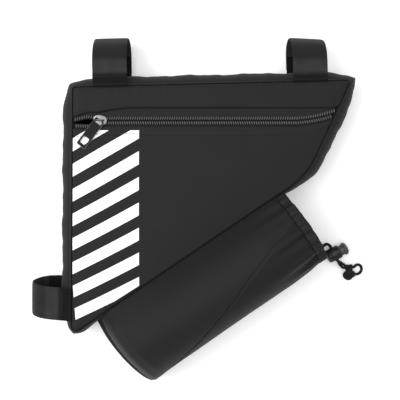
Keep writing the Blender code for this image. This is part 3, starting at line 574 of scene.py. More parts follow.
def plated_zinc():
    """Die cast zinc with bright nickel plating: soft cast texture under the shine."""
    colour = colour_of("metal")
    made, tree, shader = start_material("nickel_plated_zinc", colour, 0.34, Metallic=1.0)
    if tree:
        raise_grain(tree, shader, 900.0, 3.0, 0.05 * MM, 0.4)
    return made


def lacquered_plate():
    """Stamped steel with a satin black lacquer, slightly rippled."""
    colour = colour_of("pull")
    made, tree, shader = start_material("lacquered_steel", colour, 0.55, IOR=1.5, Specular_IOR_Level=0.18)
    if tree:
        raise_grain(tree, shader, 300.0, 2.0, 0.05 * MM, 0.3)
    return made


def worn_edge():
    """The plate's rim, where the lacquer has rubbed through to bare steel."""
    colour = hex_colour("e2e2e0")
    made, tree, shader = start_material("rubbed_steel_edge", colour, 0.35, Metallic=1.0)
    if tree:
        link_to(tree, tone_drift(tree, colour, 0.3, 500.0), shader, "Base Color")
    return made


def moulded_plastic(name, colour):
    """Injection moulded acetal: smooth, with a fine spark-eroded grain."""
    made, tree, shader = start_material(name, colour, 0.42, IOR=1.48)
    if tree:
        raise_grain(tree, shader, 1500.0, 2.0, 0.04 * MM, 0.5)
    return made


def braided_cord():
    """Braided polyester cord: crossing strands a little over a millimetre wide."""
    colour = colour_of("cord")
    made, tree, shader = start_material("braided_polyester", colour, 0.75, IOR=1.5, Specular_IOR_Level=0.3)
    if tree:
        spot = add_node(tree, "ShaderNodeTexCoord")
        heights = []
        for tilt in (1, -1):
            inputs = {"Rotation": (0.6 * tilt, 0.4, 0.785 * tilt), "Vector": (spot, "Object")}
            turn = add_node(tree, "ShaderNodeMapping", {}, inputs)
            wave = add_node(
                tree,
                "ShaderNodeTexWave",
                {"bands_direction": "X"},
                {"Scale": wave_scale(1.3 * MM), "Vector": (turn, "Vector")},
            )
            heights.append((wave, "Fac"))
        crossed = add_node(tree, "ShaderNodeMath", {"operation": "MULTIPLY"}, {0: heights[0], 1: heights[1]})
        raise_surface(tree, shader, (crossed, "Value"), 0.3 * MM, 0.8)
    return made


# Curves and the bag's plan


def lengths_along(points):
    """The length reached at each point of a run."""
    spots = np.array([tuple(point) for point in points], dtype=float)
    return np.concatenate([[0], np.cumsum(np.linalg.norm(np.diff(spots, axis=0), axis=1))])


def direction_at(spots, k):
    return (spots[min(k + 1, len(spots) - 1)] - spots[max(k - 1, 0)]).normalized()


def resample(points, count):
    """Count points at equal steps along a run of points, as an array."""
    spots = np.array([tuple(point) for point in points], dtype=float)
    reached = lengths_along(spots)
    wanted = np.linspace(0, reached[-1], count)
    return np.stack([np.interp(wanted, reached, spots[:, k]) for k in range(spots.shape[1])], axis=1)


def smooth_run(points, per_span=6):
    """A smooth curve through the points."""
    points = [Vector(point) for point in points]
    ends = [points[0] * 2 - points[1], *points, points[-1] * 2 - points[-2]]
    found = []
    for a, b, c, d in zip(ends, ends[1:], ends[2:], ends[3:]):
        for k in range(per_span):
            t = k / per_span
            squared = (a * 2 - b * 5 + c * 4 - d) * t**2
            cubed = (b * 3 - a - c * 3 + d) * t**3
            found.append((b * 2 + (c - a) * t + squared + cubed) / 2)
    return [*found, points[-1]]


def table_at(table, value):
    """The other columns of a table, read between its rows where the first column has this value."""
    columns = np.array(table, dtype=float).T
    return [float(np.interp(value, columns[0], column)) for column in columns[1:]]


def eased(share):
    share = np.clip(share, 0.0, 1.0)
    return share * share * (3 - 2 * share)


def ridge(distance, width):
    """1 at distance 0, falling off on both sides."""
    return np.exp(-((distance / width) ** 2))


def ripple(along, waves):
    """A sum of waves of (height, wavelength, phase)."""
    return sum(height * np.sin(2 * np.pi * along / length + phase) for height, length, phase in waves)


def heading(angle):
    return Vector((math.cos(angle), math.sin(angle)))


def outward_of(direction):
    return Vector((direction.y, -direction.x))


def body_corners():
    top_right = TOP_LEFT + heading(TOP_RISE) * TOP_LENGTH
    return {
        "top_left": TOP_LEFT,
        "tip": TOP_LEFT + heading(math.radians(-90) - SEAT_LEAN) * SEAT_LENGTH,
        "junction": top_right + heading(math.radians(-90) - HEAD_LEAN) * HEAD_LENGTH,
        "top_right": top_right,
    }


def corner_arc(name):
    names = list(CORNER_RADIUS)
    spot = names.index(name)
    corners = body_corners()
    corner = corners[name]
    arriving = (corner - corners[names[spot - 1]]).normalized()
    leaving = (corners[names[(spot + 1) % len(names)]] - corner).normalized()
    turn = math.atan2(arriving.cross(leaving), arriving.dot(leaving))
    radius = CORNER_RADIUS[name]
    start = corner - arriving * radius * math.tan(turn / 2)
    return start - outward_of(arriving) * radius, math.atan2(arriving.y, arriving.x), turn


def side_run(side, straight_steps=70, arc_steps=8):
    """(point, outward, bulge) along one side, from the middle of one corner's arc to the next."""
    first, last = SIDES[side]
    stations = []
    for name, begin, end in ((first, 0.5, 1.0), (last, 0.0, 0.5)):
        centre, angle, turn = corner_arc(name)
        for k in range(arc_steps + 1):
            part = begin + (end - begin) * k / arc_steps
            outward = outward_of(heading(angle + turn * part))
            off = turn * (1 - part if name == first else part)
            drawn_out = (1 / math.cos(off)) ** CORNER_SHARPNESS[name]
            stations.append((centre + outward * CORNER_RADIUS[name], outward, drawn_out))
        if name == first:
            start, outward, _ = stations[-1]
            far_centre, far_angle, _ = corner_arc(last)
            goal = far_centre + outward_of(heading(far_angle)) * CORNER_RADIUS[last]
            shares = [k / straight_steps for k in range(1, straight_steps)]
            stations += [(start.lerp(goal, share), outward, 1.0) for share in shares]
    reached = lengths_along([point for point, _, _ in stations])
    run = []
    for (point, outward, drawn_out), along in zip(stations, reached):
        near_first = max(0.0, 1 - along / BULGE_REACH[first]) ** BULGE_EASE
        near_last = max(0.0, 1 - (reached[-1] - along) / BULGE_REACH[last]) ** BULGE_EASE
        full = BULGE[side]
        bulge = full + (CORNER_BULGE[first] - full) * near_first + (CORNER_BULGE[last] - full) * near_last
        run.append((point, outward, bulge * drawn_out))
    return run


def seam_loop():
    return [station for side in SIDES for station in side_run(side)[:-1]]


def side_line(side):
    """A side's first corner, its direction and the outward direction."""
    first, last = (body_corners()[corner] for corner in SIDES[side])
    along = (last - first).normalized()
    return first, along, outward_of(along)


def bulge_at(side, distance):
    first, along, _ = side_line(side)
    table = [((point - first).dot(along), bulge) for point, _, bulge in side_run(side)]
    return table_at(table, distance)[0]


def ends_at(height):
    corners = body_corners()
    ends = []
    for first, last in (("top_left", "tip"), ("top_right", "junction")):
        a, b = corners[first], corners[last]
        ends.append(a.x + (b.x - a.x) * (height - a.y) / (b.y - a.y))
    return ends


ZIP_LEFT, ZIP_RIGHT = ends_at(TOP_LEFT.y - ZIP_DROP)
SLIDER_X = ZIP_LEFT + SLIDER_PLACE


def zip_centre(x):
    dip = np.maximum(0.0, 1 - (x - ZIP_LEFT) / ZIP_END_REACH)
    rise = np.maximum(0.0, 1 - (ZIP_RIGHT - x) / ZIP_END_REACH)
    return TOP_LEFT.y - ZIP_DROP - ZIP_LEFT_DIP * dip**2 + ZIP_RIGHT_RISE * rise**2


def zip_spread(x):
    left_open, reach = ZIP_PINCH
    pinched = left_open + (1 - left_open) * eased((x - ZIP_LEFT) / reach)
    return ZIP_CLOSED_GAP + ZIP_OPEN_GAP * pinched * eased((SLIDER_X - x) / ZIP_OPEN_REACH)


def row_edge(x):
    return zip_spread(x) / 2 + ZIP_ROW


def lower_lip(x):
    return zip_centre(x) - row_edge(x) - LIP_CLEARANCE


def upper_lip(x):
    from_left = eased((x - ZIP_LEFT) / (1.5 * ZIP_END_REACH))
    risen = np.maximum(0.0, 1 - (ZIP_RIGHT - x) / ZIP_END_REACH) ** 2
    open_share = np.minimum(from_left, 1 - np.minimum(risen, 1.0) * ZIP_RIGHT_RISE / ZIP_SHOW)
    return zip_centre(x) + row_edge(x) + LIP_CLEARANCE + ZIP_SHOW * open_share


def split_seam(lip):
    loop = [point for point, _, _ in seam_loop()]
    loop.append(loop[0])
    runs = [[]]
    for before, after in zip(loop, loop[1:]):
        runs[-1].append(before)
        over_before = before.y - lip(before.x)
        over_after = after.y - lip(after.x)
        if over_before * over_after < 0:
            crossing = before.lerp(after, over_before / (over_before - over_after))
            runs[-1].append(crossing)
            runs.append([crossing])
    left_side, below, right_side = runs
    return [*reversed(left_side), *reversed(right_side)], below


# Meshes


def grid_faces(rows, columns, closed=False):
    faces = []
    for start in range(0, (rows - 1) * columns, columns):
        for j in range(columns if closed else columns - 1):
            after = (j + 1) % columns
            faces.append((start + j, start + after, start + columns + after, start + columns + j))
    return faces


def add_object(name, data):
    made = bpy.data.objects.new(name, data)
    bpy.context.scene.collection.objects.link(made)
    return made


def evaluated_mesh(made):
    return bpy.data.meshes.new_from_object(made.evaluated_get(bpy.context.evaluated_depsgraph_get()))


def make_piece(name, points, faces, materials, uvs=None, face_materials=None, merge=0.0, outward=False):
    """A smooth-shaded mesh object with an optional UV for each point and material for each face."""
    mesh = bpy.data.meshes.new(name)
    mesh.from_pydata([tuple(point) for point in points], [], [tuple(face) for face in faces])
    if uvs is not None:
        layer = mesh.uv_layers.new(name="cloth")
        spots = np.array(uvs, dtype=float)
        corners = np.zeros(len(mesh.loops), dtype=int)
        mesh.loops.foreach_get("vertex_index", corners)
        layer.data.foreach_set("uv", spots[corners].astype(np.float32).ravel())
    if face_materials is not None:
        mesh.polygons.foreach_set("material_index", np.array(face_materials, dtype=np.int32))
    shape = bmesh.new()
    shape.from_mesh(mesh)
    if merge:
        bmesh.ops.remove_doubles(shape, verts=shape.verts, dist=merge)
        bmesh.ops.dissolve_degenerate(shape, edges=shape.edges, dist=1e-7)
    if outward:
        bmesh.ops.recalc_face_normals(shape, faces=shape.faces)
    shape.to_mesh(mesh)
    shape.free()
    for material in materials:
        mesh.materials.append(material)
    mesh.shade_smooth()
    return add_object(name, mesh)


def thicken(made, thickness):
    change = made.modifiers.new("cloth thickness", "SOLIDIFY")
    change.thickness = thickness
    change.offset = -1.0


def settle(made, slot, *nodes, body="root"):
    """The piece rides on its body and stands for these nodes; the slot is not used."""
    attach(made, body)
    if nodes:
        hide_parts(*nodes)
    return made


def grid_normals(grid):
    along_rows = np.gradient(grid, axis=0)
    along_columns = np.gradient(grid, axis=1)
    normals = np.cross(along_columns, along_rows)
    return normals / np.maximum(np.linalg.norm(normals, axis=2, keepdims=True), 1e-12)


def distance_to(points, run):
    """Each point's distance to a run of points, in plan."""
    starts = run[:-1]
    spans = run[1:] - starts
    best = np.full(len(points), np.inf)
    for start, span in zip(starts, spans):
        away = points - start
        share = np.clip((away @ span) / max(span @ span, 1e-12), 0, 1)
        best = np.minimum(best, np.linalg.norm(away - share[:, None] * span, axis=1))
    return best


def stamped(name, points, faces, places, material):
    """One mesh with a copy of a small shape at each 4 x 4 place."""
    base = np.c_[np.array(points, dtype=float), np.ones(len(points))]
    all_points = []
    all_faces = []
    for k, place in enumerate(places):
        all_points.append((base @ np.array(place).T)[:, :3])
        all_faces += [tuple(corner + k * len(points) for corner in face) for face in faces]
    return make_piece(name, np.concatenate(all_points), all_faces, [material])


def capsule(length, radius, rings=(0.0, 0.35, 0.8, 1.0), sides=6, flat=1.0):
    """A rounded rod along X."""
    points = []
    angles = [ring * math.pi / 2 for ring in rings]
    profile = [(-length / 2 + radius * (1 - math.cos(angle)), radius * math.sin(angle)) for angle in angles]
    profile += [(-x, ring) for x, ring in reversed(profile)]
    for x, ring in profile[1:-1]:
        for k in range(sides):
            angle = 2 * math.pi * k / sides
            points.append((x, ring * math.cos(angle), ring * math.sin(angle) * flat))
    count = len(profile) - 2
    faces = grid_faces(count, sides, closed=True)
    faces.append(tuple(reversed(range(sides))))
    faces.append(tuple(range((count - 1) * sides, count * sides)))
    return points, [tuple(reversed(face)) for face in faces]


def turn_along(direction, normal):
    """The turn that lays X along direction and Z near normal."""
    x = Vector(direction).normalized()
    y = Vector(normal).cross(x).normalized()
    return Matrix((x, y, x.cross(y))).transposed().to_4x4()


def read_at(along, reached, points):
    """The point of a run where this length is reached."""
    return np.array([np.interp(along, reached, column) for column in points.T])


def stitch_row(points, normals):
    """Places of the stitches along a run of surface points."""
    points = np.array([tuple(point) for point in points])
    normals = np.array([tuple(normal) for normal in normals])
    reached = lengths_along(points)
    places = []
    half = sizes().stitch_length / 2
    for middle in np.arange(sizes().stitch_pitch / 2, reached[-1], sizes().stitch_pitch):
        start = read_at(middle - half, reached, points)
        end = read_at(middle + half, reached, points)
        normal = read_at(middle, reached, normals)
        spot = (start + end) / 2 + normal * sizes().thread * 0.15
        places.append(Matrix.Translation(Vector(spot)) @ turn_along(end - start, normal))
    return places


def make_stitches(name, places, slot):
    points, faces = capsule(sizes().stitch_length, sizes().thread / 2, flat=0.7)
    return settle(stamped(name, points, faces, places, spun_thread()), slot)


def round_section(width, thickness, steps=16, square=0.35):
    """(across, up) points of a flat strip's section with rounded edges."""
    points = []
    for k in range(steps):
        angle = 2 * math.pi * k / steps
        c, s = math.cos(angle), math.sin(angle)
        across = width / 2 * math.copysign(abs(c) ** square, c)
        points.append((across, thickness / 2 * math.copysign(abs(s) ** 0.7, s)))
    return points


def swept(name, spots, acrosses, ups, section, material):
    """A strip whose closed section follows the spots, with flat ends."""
    points = []
    uvs = []
    reached = lengths_along(spots)
    for spot, across, up, along in zip(spots, acrosses, ups, reached):
        for side, height in section:
            points.append(Vector(spot) + Vector(across) * side + Vector(up) * height)
            uvs.append((along, side))
    count = len(section)
    faces = grid_faces(len(spots), count, closed=True)
    faces.append(tuple(reversed(range(count))))
    faces.append(tuple(range(len(points) - count, len(points))))
    return make_piece(name, points, faces, [material], uvs, outward=True)


# Pieces of the body


def front_grid(lower, upper, columns, rows):
    """Plan points of a panel between two runs that meet at both ends, closer together near the edges."""
    lower = resample(lower, columns)
    upper = resample(upper, columns)
    shares = (1 - np.cos(np.pi * np.linspace(0, 1, rows))) / 2
    return lower[None] + (upper - lower)[None] * shares[:, None, None]


def lip_run(lip, left, right, count=120):
    xs = np.linspace(left.x, right.x, count)
    return [(x, float(lip(x))) for x in xs]


def cloth_panel(name, plan, heights, material):
    rows, columns, _ = plan.shape
    points = np.concatenate([plan, heights[..., None]], axis=2).reshape(-1, 3)
    uvs = points[:, :2]
    made = make_piece(name, points, grid_faces(rows, columns), [material], uvs, merge=1e-6)
    thicken(made, FRONT_CLOTH)
    return made


def rolled(distance, depth, reach):
    """How far cloth drops where it turns over an edge at distance 0."""
    return depth * (1 - np.sqrt(np.clip(1 - (1 - np.clip(distance / reach, 0, 1)) ** 2, 0, 1)))


def front_height(spots):
    """The front panel's height at plan points."""
    _, below = split_seam(lower_lip)
    from_seam = distance_to(spots, resample(below, SEAM_STEPS))
    from_lip = lower_lip(spots[:, 0]) - spots[:, 1]
    nearest = np.minimum(from_seam, from_lip * 1.3)
    height = BODY_DEPTH + sizes().crown * (1 - np.exp(-nearest / CROWN_REACH)) * CROWN_SHARE
    height -= rolled(from_seam, *SEAM_ROLL)
    height += LIP_BEAD[0] * ridge(from_lip, LIP_BEAD[1])
    height -= rolled(from_lip, *LOWER_LIP_ROLL)
    height -= STITCH_GROOVE[0] * ridge(from_lip - LIP_STITCH, STITCH_GROOVE[1])
    x, y = spots[:, 0], spots[:, 1]
    inside = eased(nearest / (25 * MM))
    # slack in the middle, a finer ripple near the seam, and puckers beside it
    height += inside * 0.35 * MM * np.sin(x / (31 * MM) + 1.3) * np.cos(y / (37 * MM) + 0.4)
    height += inside * 0.22 * MM * np.sin((x * 0.8 + y * 0.6) / (11 * MM)) * np.exp(-from_seam / (50 * MM))
    beside_seam = ridge(from_seam - PUCKER_FROM_SEAM, PUCKER_WIDTH)
    height += 0.25 * MM * np.sin(2 * np.pi * (x + y) / PUCKER_PITCH) * beside_seam
    return height


def upper_height(spots):
    above, _ = split_seam(upper_lip)
    from_seam = distance_to(spots, resample(above, SEAM_STEPS))
    from_lip = spots[:, 1] - upper_lip(spots[:, 0])
    nearest = np.minimum(from_seam, from_lip * 1.5)
    height = BODY_DEPTH + BAND_RISE * (1 - np.exp(-nearest / BAND_REACH))
    height -= rolled(from_seam, *SEAM_ROLL)
    height -= rolled(from_lip, *UPPER_LIP_ROLL)
    x = spots[:, 0]
    height += 0.3 * MM * np.sin(x / (21 * MM)) * eased(nearest / (8 * MM))
    beside_seam = ridge(from_seam - PUCKER_FROM_SEAM, PUCKER_WIDTH)
    height += 0.22 * MM * np.sin(2 * np.pi * x / (10 * MM)) * beside_seam
    return height


def surface_run(plan, height):
    """Points of a run on a panel and the panel's normals there."""
    step = 0.4 * MM
    z = height(plan)
    slope_x = (height(plan + [step, 0]) - z) / step
    slope_y = (height(plan + [0, step]) - z) / step
    normals = np.stack([-slope_x, -slope_y, np.ones(len(plan))], axis=1)
    normals /= np.linalg.norm(normals, axis=1, keepdims=True)
    return np.c_[plan, z], normals


def build_front():
    _, below = split_seam(lower_lip)
    plan = front_grid(below, lip_run(lower_lip, below[0], below[-1]), FRONT_COLUMNS, FRONT_ROWS)
    heights = front_height(plan.reshape(-1, 2)).reshape(plan.shape[:2])
    panel = cloth_panel("front_panel_cloth", plan, heights, striped_cloth())
    settle(panel, "body_cloth", "front_panel")
    above, _ = split_seam(upper_lip)
    plan = front_grid(lip_run(upper_lip, above[0], above[-1]), above, FRONT_COLUMNS, BAND_ROWS)
    heights = upper_height(plan.reshape(-1, 2)).reshape(plan.shape[:2])
    band = cloth_panel("front_band_cloth", plan, heights, front_cloth())
    settle(band, "body_cloth", "front_upper_panel")
    xs = np.linspace(ZIP_LEFT + 4 * MM, ZIP_RIGHT - 7 * MM, 200)
    lip_points, lip_normals = surface_run(np.c_[xs, lower_lip(xs) - LIP_STITCH], front_height)
    make_stitches("lip_stitches", stitch_row(lip_points, lip_normals), "body_cloth")


def build_gusset():
    loop = seam_loop()
    points = np.array([tuple(point) for point, _, _ in loop])
    outwards = np.array([tuple(outward) for _, outward, _ in loop])
    bulges = np.array([bulge for _, _, bulge in loop])
    closed = np.vstack([points, points[:1]])
    around = lengths_along(closed)
    total = around[-1]
    around = around[:-1]
    whole = [(height, total / round(total / length), phase) for height, length, phase in SLACK_WAVES]
    section = resample(smooth_run(GUSSET_SECTION, 8), 26)
    low, high = 1.0 * MM, BODY_DEPTH - 1.6 * MM
    pucker_length = total / round(total / PUCKER_PITCH)
    rows = []
    uvs = []
    for depth, share in section:
        middle = math.sin(math.pi * min(max(depth, 0.0), 1.0)) ** 0.7
        slack = ripple(around, whole) * middle * bulges / BULGE["top"]
        near_seam = math.exp(-(1 - depth) * 9) + math.exp(-depth * 9)
        pucker = 0.3 * MM * near_seam * np.sin(2 * np.pi * around / pucker_length)
        out = np.maximum(bulges * share + slack + pucker, SEAM_BEAD if depth > 0.5 else 0.0)
        spot = points + outwards * out[:, None]
        rows.append(np.c_[spot, np.full(len(spot), low + (high - low) * depth)])
        uvs.append(np.c_[around, np.full(len(spot), depth * (high - low))])
    for outset, rise in SEAM_TURN:
        tuck = rows[-1].copy()
        tuck[:, :2] = points + outwards * outset
        tuck[:, 2] = high + rise
        rows.append(tuck)
        uvs.append(uvs[-1] + [0, 0.7 * MM])
    grid = np.concatenate(rows)
    faces = grid_faces(len(rows), len(loop), closed=True)
    made = make_piece("gusset_cloth", grid, faces, [shaded_side_cloth()], np.concatenate(uvs))
    thicken(made, GUSSET_CLOTH)
    nodes = ["gusset_top", "gusset_seat_upper", "gusset_seat_lower", "gusset_down", "gusset_head"]
    settle(made, "gusset_cloth", *nodes)


def build_back():
    share = GUSSET_SECTION[0][1]
    edge = [point + outward * bulge * share for point, outward, bulge in seam_loop()]
    middle = sum(edge, Vector((0, 0))) / len(edge)
    rings = []
    for size, z in BACK_RINGS:
        rings.append([(*(middle + (spot - middle) * size), z) for spot in edge])
    points = [point for ring in rings for point in ring]
    uvs = [point[:2] for point in points]
    faces = grid_faces(len(rings), len(edge), closed=True)
    made = make_piece("back_panel_cloth", points, faces, [shaded_side_cloth()], uvs, merge=1e-6, outward=True)
    settle(made, "body_cloth", "back_panel")


# Pieces of the zip


def strip_between(name, inner, outer, top, material, count=160):
    rows = []
    for edge in (inner, outer):
        left = ends_at(zip_centre(ZIP_LEFT) + edge(ZIP_LEFT))[0] + ZIP_FROM_SEAM
        right = ends_at(zip_centre(ZIP_RIGHT) + edge(ZIP_RIGHT))[1] - ZIP_FROM_SEAM
        xs = np.linspace(left, right, count)
        rows.append(np.c_[xs, zip_centre(xs) + edge(xs), np.full(count, top)])
    if rows[1][0, 1] < rows[0][0, 1]:
        rows.reverse()
    across = np.linspace(0, 1, 8)[:, None, None]
    grid = rows[0][None] * (1 - across) + rows[1][None] * across
    points = grid.reshape(-1, 3)
    made = make_piece(name, points, grid_faces(8, count), [material], points[:, :2])
    thicken(made, TAPE_CLOTH)
    return made


def build_zip():
    tape_top = BODY_DEPTH - 2.3 * MM
    tape = ribbed_webbing("woven_zip_tape", colour_of("tape"), 0.9 * MM)
    pitch = sizes().tooth_pitch
    points, faces = capsule(ZIP_ROW * 0.8, 0.68 * MM, sides=8, flat=1.15)
    rail_points, rail_faces = capsule(pitch * 0.8, 0.33 * MM, sides=6)
    for name, side in (("upper", 1), ("lower", -1)):
        made = strip_between(
            f"zip_tape_{name}_weave",
            lambda x, side=side: side * zip_spread(x) / 2,
            lambda x, side=side: side * (zip_spread(x) / 2 + 19 * MM),
            tape_top,
            tape,
        )
        settle(made, "zip_tape", f"zip_tape_{name}")
        left = ZIP_LEFT + ZIP_FROM_SEAM + 0.8 * MM
        right = ends_at(zip_centre(ZIP_RIGHT) + side * row_edge(ZIP_RIGHT))[1] - ZIP_FROM_SEAM - 0.8 * MM
        teeth = []
        rails = []
        shift = 0 if side > 0 else pitch / 2
        for x in np.arange(left + shift, right, pitch):
            centre = zip_centre(x) + side * (zip_spread(x) / 2 + ZIP_ROW / 2)
            ahead = x + 0.5 * MM
            climb = zip_centre(ahead) - zip_centre(x) + side * (zip_spread(ahead) - zip_spread(x)) / 2
            tilt = math.atan2(float(climb), 0.5 * MM)
            turn = Matrix.Rotation(tilt + side * math.radians(90 - 17), 4, "Z")
            teeth.append(Matrix.Translation((x, centre, tape_top + 1.05 * MM)) @ turn)
            away = centre + side * (ZIP_ROW / 2 - 0.1 * MM)
            rails.append(Matrix.Translation((x, away, tape_top + 0.95 * MM)) @ Matrix.Rotation(tilt, 4, "Z"))
        row = stamped(f"zip_coil_{name}", points, faces, teeth, nylon_coil())
        settle(row, "zip_coil", f"zip_teeth_{name}")
        settle(stamped(f"zip_coil_seam_{name}", rail_points, rail_faces, rails, spun_thread()), "zip_tape")


def plate_from_outlines(name, outlines, thickness, bevel, materials):
    """A plate from closed outlines, the inner ones as holes, with rounded edges in the last material."""
    curve = bpy.data.curves.new(name, "CURVE")
    curve.dimensions = "2D"
    curve.fill_mode = "BOTH"
    curve.extrude = thickness / 2 - bevel
    curve.bevel_depth = bevel
    curve.bevel_resolution = 2
    curve.offset = -bevel
    for outline in outlines:
        spline = curve.splines.new("POLY")
        spline.use_cyclic_u = True
        spline.points.add(len(outline) - 1)
        for point, spot in zip(spline.points, outline):
            point.co = (spot[0], spot[1], 0, 1)
    helper = add_object(name, curve)
    mesh = evaluated_mesh(helper)
    bpy.data.objects.remove(helper)
    mesh.materials.clear()
    for material in materials:
        mesh.materials.append(material)
    for face in mesh.polygons:
        face.material_index = 0 if abs(face.normal.z) > 0.9 or len(materials) == 1 else len(materials) - 1
    shape = bmesh.new()
    shape.from_mesh(mesh)
    bmesh.ops.remove_doubles(shape, verts=shape.verts, dist=1e-6)
    bmesh.ops.recalc_face_normals(shape, faces=shape.faces)
    shape.to_mesh(mesh)
    shape.free()
    mesh.shade_smooth()
    mesh.set_sharp_from_angle(angle=math.radians(35))
    return add_object(name, mesh)


def rounded_box(x0, x1, half, radius, steps=6):
    """A closed outline of a box with rounded corners."""
    points = []
    for quarter, (right, up) in enumerate(((1, 1), (0, 1), (0, 0), (1, 0))):
        cx = x1 - radius if right else x0 + radius
        cy = half - radius if up else radius - half
        for k in range(steps + 1):
            angle = math.radians(90 * (quarter + k / steps))
            points.append((cx + radius * math.cos(angle), cy + radius * math.sin(angle)))
    return points


def tube_along(name, spots, radius, material, sides=12):
    """A round bar through the spots, with closed ends."""
    spots = [Vector(spot) for spot in spots]
    angles = [2 * math.pi * k / sides for k in range(sides)]
    section = [(radius * math.cos(angle), radius * math.sin(angle)) for angle in angles]
    acrosses = []
    ups = []
    for k in range(len(spots)):
        direction = direction_at(spots, k)
        if not acrosses:
            guide = Vector((0, 1, 0)) if abs(direction.y) < 0.9 else Vector((1, 0, 0))
        across = (guide - direction * guide.dot(direction)).normalized()
        guide = across
        acrosses.append(across)
        ups.append(direction.cross(across))
    return swept(name, spots, acrosses, ups, section, material)


def build_slider():
    low, high = (Vector(corner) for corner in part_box("zip_slider"))
    middle = (low + high) / 2
    length = high.x - low.x
    width = high.y - low.y
    plate_top = BODY_DEPTH + 1.8 * MM
    metal = plated_zinc()
    outline = []
    for k in range(48):
        angle = 2 * math.pi * k / 48
        c, s = math.cos(angle), math.sin(angle)
        x = length / 2 * math.copysign(abs(c) ** 0.55, c)
        taper = 1 - 0.24 * eased((x + length * 0.1) / (length * 0.6))
        outline.append((x, width / 2 * math.copysign(abs(s) ** 0.6, s) * float(taper)))
    pieces = []
    top = plate_from_outlines("slider_top_plate", [outline], 1.5 * MM, 0.5 * MM, [metal])
    top.location = (middle.x, middle.y, plate_top - 0.8 * MM)
    pieces.append(top)
    under = plate_from_outlines("slider_under_plate", [outline], 1.3 * MM, 0.3 * MM, [metal])
    under.location = (middle.x, middle.y, low.z + 0.65 * MM)
    pieces.append(under)
    post_outline = rounded_box(-1 * MM, 1 * MM, 0.35 * MM, 0.3 * MM)
    post = plate_from_outlines("slider_post", [post_outline], 4.6 * MM, 0.1 * MM, [metal])
    post.location = (low.x + 1.4 * MM, middle.y, plate_top - 3.4 * MM)
    pieces.append(post)
    hoop = [*[(-x, z) for x, z in BAIL_HALF], *reversed(BAIL_HALF[:-1])]
    spots = [(middle.x + x * MM, middle.y, plate_top + z * MM) for x, z in smooth_run(hoop, 4)]
    bail = tube_along("slider_bail", spots, 0.75 * MM, metal)
    pieces.append(bail)
    for k, piece in enumerate(pieces):
        settle(piece, "slider_metal", *(["zip_slider"] if k == 0 else []))


def build_pull():
    low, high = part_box("zip_slider")
    eye = Vector(((low[0] + high[0]) / 2, (low[1] + high[1]) / 2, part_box("zip_pull")[1][2] - PULL_BAR / 2))
    outer = rounded_box(-0.8 * MM, PULL_LENGTH, PULL_WIDTH / 2, 1.9 * MM)
    hole = list(reversed(rounded_box(0.7 * MM, 0.7 * MM + PULL_EYE[0], PULL_EYE[1] / 2, 0.9 * MM)))
    far = PULL_LENGTH - PULL_END_BAR
    window = list(reversed(rounded_box(far - PULL_WINDOW[0], far, PULL_WINDOW[1] / 2, 1.0 * MM)))
    finishes = [lacquered_plate(), worn_edge()]
    made = plate_from_outlines("zip_pull_plate", [outer, hole, window], PULL_BAR, 0.6 * MM, finishes)
    droop = math.asin((eye.z - PULL_BAR / 2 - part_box("zip_pull")[0][2]) / PULL_LENGTH)
    turn = Matrix.Rotation(PULL_HEADING, 4, "Z") @ Matrix.Rotation(droop, 4, "Y")
    made.data.transform(Matrix.Translation(eye) @ turn)
    settle(made, "pull_metal", "zip_pull", body="pull")


# Pieces of the pocket


def pocket_distance(share):
    return POCKET_START + (POCKET_LENGTH - HEM_WIDTH) * share


def pocket_section(share):
    """(n, z) of the section's outer face at a length share, from the crease round to the back seam."""
    tall, wide, crease = table_at(POCKET_STATIONS, min(max(share, 0), 1))
    bulge = bulge_at("down", pocket_distance(share))
    crease_z = BODY_DEPTH * crease
    gusset = table_at(GUSSET_SECTION, (crease_z - 2 * MM) / (BODY_DEPTH - 4 * MM))[0]
    run = [Vector((bulge * gusset + 0.3 * MM, crease_z - 0.6 * MM))]
    run += [Vector((n * wide * POCKET_WIDTH, z * tall * POCKET_DEPTH)) for n, z in POCKET_SECTION]
    run.append(Vector((bulge * GUSSET_SECTION[0][1] + 0.3 * MM, 0)))
    return np.maximum([tuple(spot) for spot in smooth_run(run)], [-1, 0.02 * MM])


def gathers(u, share):
    """How far the pocket's cloth stands out where the drawcord gathers it."""
    near_hem = eased((share - 0.72) / 0.28)
    round_it = 0.45 + 0.55 * ridge(u - 0.36, 0.2)
    folds = 0.6 * np.sin(2 * np.pi * (u * 15.5 - 0.25 * share))
    folds = folds + 0.4 * np.sin(2 * np.pi * (u * 9.3 + 1.1 * share) + 0.8)
    pinch = 1 - np.abs(np.sin(np.pi * (u * 12.7 + 0.9 * share + 0.2 * np.sin(u * 23)))) ** 0.45
    under = 1 - eased((u - UNDERSIDE) / 0.08)
    return sizes().gather * near_hem**1.5 * round_it * (folds * 0.8 - pinch) * under


def pocket_seam(share):
    columns = np.array(POCKET_SEAM).T
    return np.interp(share, columns[0], columns[1])


def pocket_plan(n, z, share):
    """World points from places in the pocket's section."""
    tip, along, outward = side_line("down")
    slant = POCKET_SLANT * (n / POCKET_WIDTH) ** 2 * max(0.0, 1 - share * 2)
    distance = pocket_distance(share) + slant
    x = tip.x + along.x * distance + outward.x * n
    y = tip.y + along.y * distance + outward.y * n
    return np.stack([x, y, z], axis=-1)


